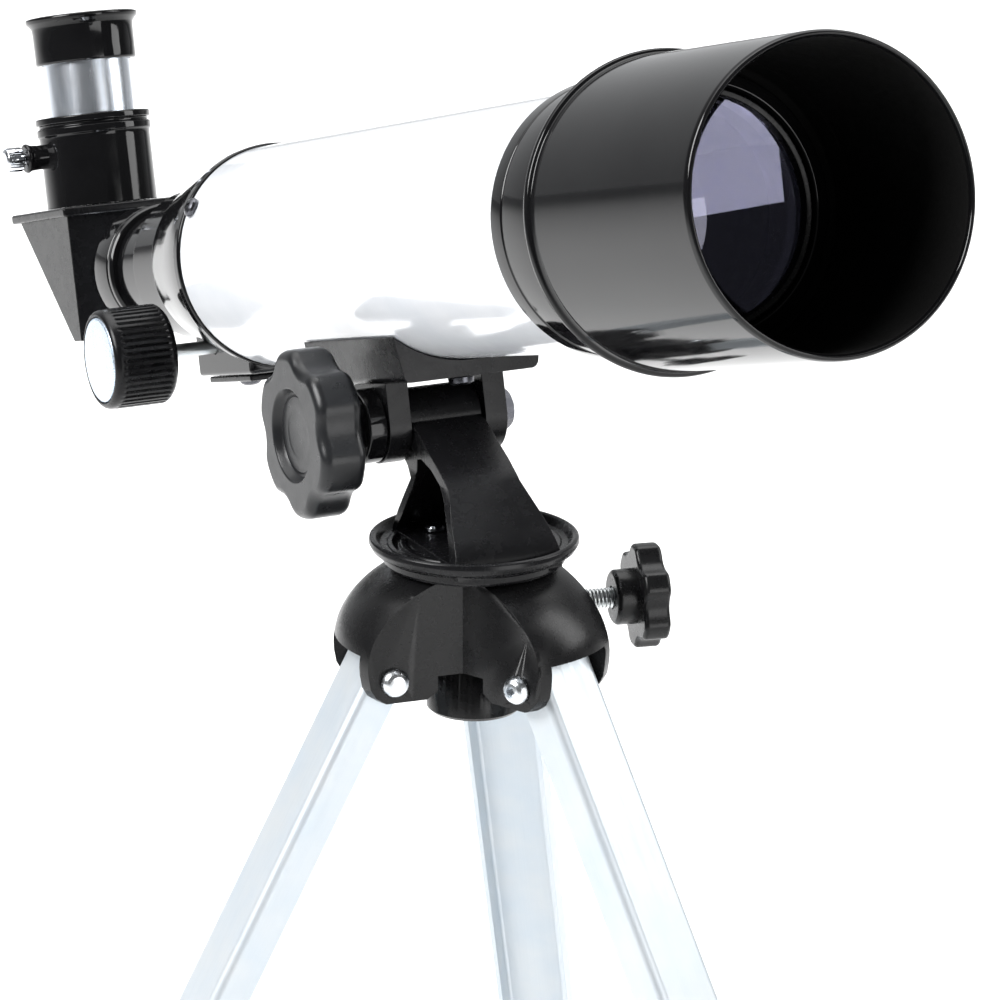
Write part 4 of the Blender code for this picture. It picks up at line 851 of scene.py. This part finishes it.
def ribbed_wheel():
    """A focus wheel along Z: ribbed skirt, plain front band, and a seat for its cap."""
    ribs = 46
    per_rib = 10
    count = ribs * per_rib
    depth = 0.62
    levels = [(26.0, 8.7, 0.0), (26.3, 9.0, 0.0), (26.6, 11.6, 0.0), (27.2, 12.3, 0.0), (27.9, 12.75, 0.0),
              (28.3, 12.8, 0.15), (28.8, 12.8, 1.0), (34.0, 12.8, 1.0), (40.2, 12.8, 1.0), (40.8, 12.8, 0.3),
              (41.2, 12.75, 0.0), (42.0, 12.7, 0.0), (42.7, 12.5, 0.0), (43.2, 12.1, 0.0), (43.5, 11.7, 0.0),
              (43.5, 11.3, 0.0), (43.3, 11.1, 0.0), (42.4, 11.1, 0.0), (42.4, 2.1, 0.0), (26.0, 2.1, 0.0)]
    shape = bmesh.new()
    rings = []
    for height, radius, share in levels:
        ring = []
        for k in range(count):
            angle = 2.0 * math.pi * k / count
            wave = 0.5 - 0.5 * math.cos(2.0 * math.pi * k / per_rib)
            cut = depth * share * (1.0 - min(1.0, wave * 1.7))
            reach = (radius - cut) * MM
            ring.append(shape.verts.new((reach * math.cos(angle), reach * math.sin(angle), height * MM)))
        rings.append(ring)
    for lower, upper in zip(rings, rings[1:] + rings[:1]):
        bridge(shape, lower, upper)
    return as_object(shape, "knob", 40.0)


# ------------------------------------------------------------- diagonal and eyepiece

def make_diagonal():
    nose = [(10.8, 176.0), (SLEEVE - 0.4, 176.0), (SLEEVE, 176.4), (SLEEVE, 202.2), (10.8, 202.2)]
    on_axis("nose_barrel", nose, "star_diagonal", CHROME, "steel", "diagonal_nose", steps=MEDIUM)
    front = 202.5
    top = 17.0
    bottom = -17.5
    slant = MIRROR_Y + 4.4
    half = 17.5
    outline = [(front, top + 0.5), (front, bottom), (slant + bottom, bottom), (slant + top, top),
               (slant + top, top + 0.5)]
    body = rounded(prism("body", outline, -half, half, "X"), 0.7, 4)
    plate = block("plate", (-half - 1.3, front - 1.3, top), (half + 1.3, slant + top + 4.0, top + 2.5))
    rounded(plate, 0.7, 4)
    combine(body, plate, "UNION")
    combine(body, rod("light_in", 10.8, front - 5.0, MIRROR_Y, "Y"), "DIFFERENCE")
    combine(body, lay(rod("light_up", 11.5, 0.0, 30.0), moved(0.0, MIRROR_Y, 0.0)), "DIFFERENCE")
    tilted = moved(0.0, MIRROR_Y, 0.0) @ Matrix.Rotation(math.pi / 4.0, 4, "X")
    deep = 4.4 / math.sqrt(2.0)
    combine(body, lay(block("pocket", (-14.0, -15.5, -deep - 1.0), (14.0, 15.5, 0.0)), tilted), "DIFFERENCE")
    smoothed(body, 34.0)
    settle(body, "diagonal_housing", OPTICS, "star_diagonal", SATIN, "black", "diagonal_body")
    mirror = rounded(block("mirror", (-13.7, -15.2, -1.8), (13.7, 15.2, -0.3)), 0.2, 2)
    settle(mirror, "flat_mirror", OPTICS @ tilted, "star_diagonal", MIRROR, "mirror", "diagonal_mirror")
    cover = rounded(block("cover", (-13.7, -15.2, -deep), (13.7, 15.2, -2.1)), 0.4, 3)
    settle(cover, "mirror_cover_plate", OPTICS @ tilted, "star_diagonal", HUB, "black", "diagonal_cover")

    bore = SLEEVE_BORE
    outer = 15.5
    end = 45.0
    socket = turned("socket", [
        (bore, 19.8), (outer, 19.8), (outer, end - 6.4), (outer + 0.1, end - 5.4), (outer + 0.5, end - 5.0),
        (outer + 0.5, end - 3.2), (outer - 0.2, end - 2.8), (outer - 0.2, end - 2.2), (outer + 0.6, end - 1.8),
        (outer + 0.6, end - 0.3), (outer + 0.2, end), (bore + 0.3, end), (bore, end - 0.4)], FINE, 0.2)
    sideways = moved(0.0, 0.0, 34.5) @ LEFTWARD
    boss = [(0.0, 13.2), (3.4, 13.2), (3.4, 17.6), (3.6, 19.6), (4.1, 20.6), (3.9, 21.2), (3.5, 21.4),
            (0.0, 21.4)]
    combine(socket, lay(turned("boss", boss, SMALL, 0.3), sideways), "UNION")
    combine(socket, lay(rod("thread", 1.7, 5.0, 30.0, "Z", SMALL), sideways), "DIFFERENCE")
    smoothed(socket, 34.0)
    settle(socket, "eyepiece_socket_moulding", UPRIGHT, "star_diagonal", GLOSS, "black", "eyepiece_socket")
    screw = threaded("stem", 1.4, 12.7, 23.0, 0.6, 0.18, 24)
    ribs = 26
    outline = []
    for k in range(ribs * 4):
        reach = 3.4 if k % 4 in (1, 2) else 3.15
        angle = 2.0 * math.pi * k / (ribs * 4)
        outline.append((reach * math.cos(angle), reach * math.sin(angle)))
    grip = prism("grip", outline, 22.2, 27.2)
    form = [(0.0, 22.2), (3.0, 22.2), (3.45, 22.7), (3.45, 26.2), (3.1, 26.9), (2.2, 27.2), (0.0, 27.25)]
    combine(grip, turned("form", form, SMALL, 0.15), "INTERSECT")
    combine(screw, grip, "UNION")
    smoothed(screw, 34.0)
    settle(screw, "knurled_thumb_screw", UPRIGHT @ sideways, "eyepiece_lock", CHROME, "chrome", "thumb_screw")


def make_eyepiece():
    barrel = [(11.0, 23.0), (SLEEVE - 0.4, 23.0), (SLEEVE, 23.4), (SLEEVE, 62.7), (11.0, 62.7)]
    settle(turned("barrel", barrel, MEDIUM), "eyepiece_chrome_barrel", UPRIGHT, "eyepiece", BARREL, "chrome",
           "eyepiece_barrel")
    top = 73.0
    cap = [(5.0, top - 3.4), (5.0, top - 2.4), (7.0, top - 1.9), (9.0, top - 1.2), (11.4, top - 0.5),
           (13.6, top - 0.02), (15.1, top - 0.02), (15.6, top - 0.25), (15.75, top - 0.7), (15.5, top - 1.5),
           (14.9, top - 2.1), (14.3, top - 2.9), (14.15, top - 4.4), (14.1, 64.0), (14.1, 60.2),
           (13.7, 59.7), (12.55, 59.7), (12.55, 63.0), (10.6, 63.0), (10.6, top - 5.0), (7.3, top - 5.0),
           (7.3, top - 3.4)]
    settle(turned("cap", cap, FINE, 0.2), "eye_cup", UPRIGHT, "eyepiece", GLOSS, "black", "eyepiece_cap")
    eye = [(0.0, top - 6.4), (2.0, top - 6.3), (4.0, top - 6.0), (6.9, top - 5.2), (6.9, top - 3.9),
           (0.0, top - 3.9)]
    settle(turned("eye", eye, MEDIUM), "eye_lens_element", UPRIGHT, "eyepiece", EYE_GLASS, "glass", "eye_lens")
    field = [(0.0, 25.0), (5.0, 25.3), (10.7, 26.4), (10.7, 28.0), (5.0, 28.3), (0.0, 28.4)]
    settle(turned("field", field, MEDIUM), "field_lens_element", UPRIGHT, "eyepiece", EYE_GLASS, "glass",
           "field_lens")


make_hub()
for letter in "abc":
    make_leg(letter)
make_azimuth_lock()
make_yoke()
make_saddle()
make_front()
make_rear_cell()
make_focuser()
make_diagonal()
make_eyepiece()

# ------------------------------------------------------------- studio

def make_floor():
    shape = bmesh.new()
    bmesh.ops.create_grid(shape, x_segments=8, y_segments=8, size=8.0)
    floor = as_object(shape, "studio_floor")
    made, nodes, links, shader = new_material("pale_floor")
    cloud = noise(nodes, links, stretched(nodes, links, (1.0, 1.0, 1.0)), 3.0, 3.0)
    mottle(nodes, links, shader, cloud, (0.90, 0.90, 0.90), (0.92, 0.92, 0.92))
    shader.inputs["Roughness"].default_value = 0.6
    floor.data.materials.append(made)


def softbox(name, place, target, width, height, power, spread_angle=180.0):
    lamp = bpy.data.lights.new(name, "AREA")
    lamp.shape = "RECTANGLE"
    lamp.size = width
    lamp.size_y = height
    lamp.energy = power
    lamp.spread = math.radians(spread_angle)
    made = bpy.data.objects.new(name, lamp)
    bpy.context.scene.collection.objects.link(made)
    made.location = place
    made.rotation_euler = (Vector(target) - Vector(place)).to_track_quat("-Z", "Y").to_euler()


make_floor()
centre = joint_place("azimuth_turn")
azimuth = math.radians(-25.82)
elevation = math.radians(16.87)
away = Vector((-math.sin(azimuth), math.cos(azimuth), 0.0))
right = Vector((math.cos(azimuth), math.sin(azimuth), 0.0))
up = Vector((0.0, 0.0, 1.0))
backdrop = centre + 2.0 * away
softbox("backdrop_softbox", backdrop + 1.5 * up, backdrop, 4.6, 3.4, 88.0, 110.0)
softbox("key_softbox", centre - 0.95 * right - 0.5 * away + 0.85 * up, centre, 0.7, 0.7, 26.0)
softbox("front_softbox", centre + 0.75 * right - 0.95 * away + 0.05 * up, centre + 0.05 * up, 0.7, 0.7, 6.0)
softbox("right_softbox", centre + 1.1 * right + 0.1 * away + 0.6 * up, centre, 0.5, 0.9, 8.0)

world = bpy.data.worlds.new("studio")
world.use_nodes = True
nodes = world.node_tree.nodes
links = world.node_tree.links
sky = nodes["Background"]
sky.inputs["Color"].default_value = (0.97, 0.985, 1.0, 1.0)
outward = nodes.new("ShaderNodeTexCoord")
toward_back = nodes.new("ShaderNodeVectorMath")
toward_back.operation = "DOT_PRODUCT"
toward_back.inputs[1].default_value = away
links.new(outward.outputs["Generated"], toward_back.inputs[0])
links.new(spread(nodes, links, toward_back.outputs["Value"], 0.12, 0.80, 0.35, 0.95), sky.inputs["Strength"])
bpy.context.scene.world = world

back = math.sin(elevation) * up - math.cos(elevation) * away
distance = 0.9568
framing = moved(6.70, 0.0, 7.18) @ centre
lens = bpy.data.cameras.new("camera")
lens.lens = 147.96
lens.sensor_width = 36.0
lens.clip_start = 0.02
camera = bpy.data.objects.new("camera", lens)
bpy.context.scene.collection.objects.link(camera)
camera.location = framing + back * distance
camera.rotation_euler = (-back).to_track_quat("-Z", "Y").to_euler()
bpy.context.scene.camera = camera
bpy.context.scene.view_settings.view_transform = "Standard"
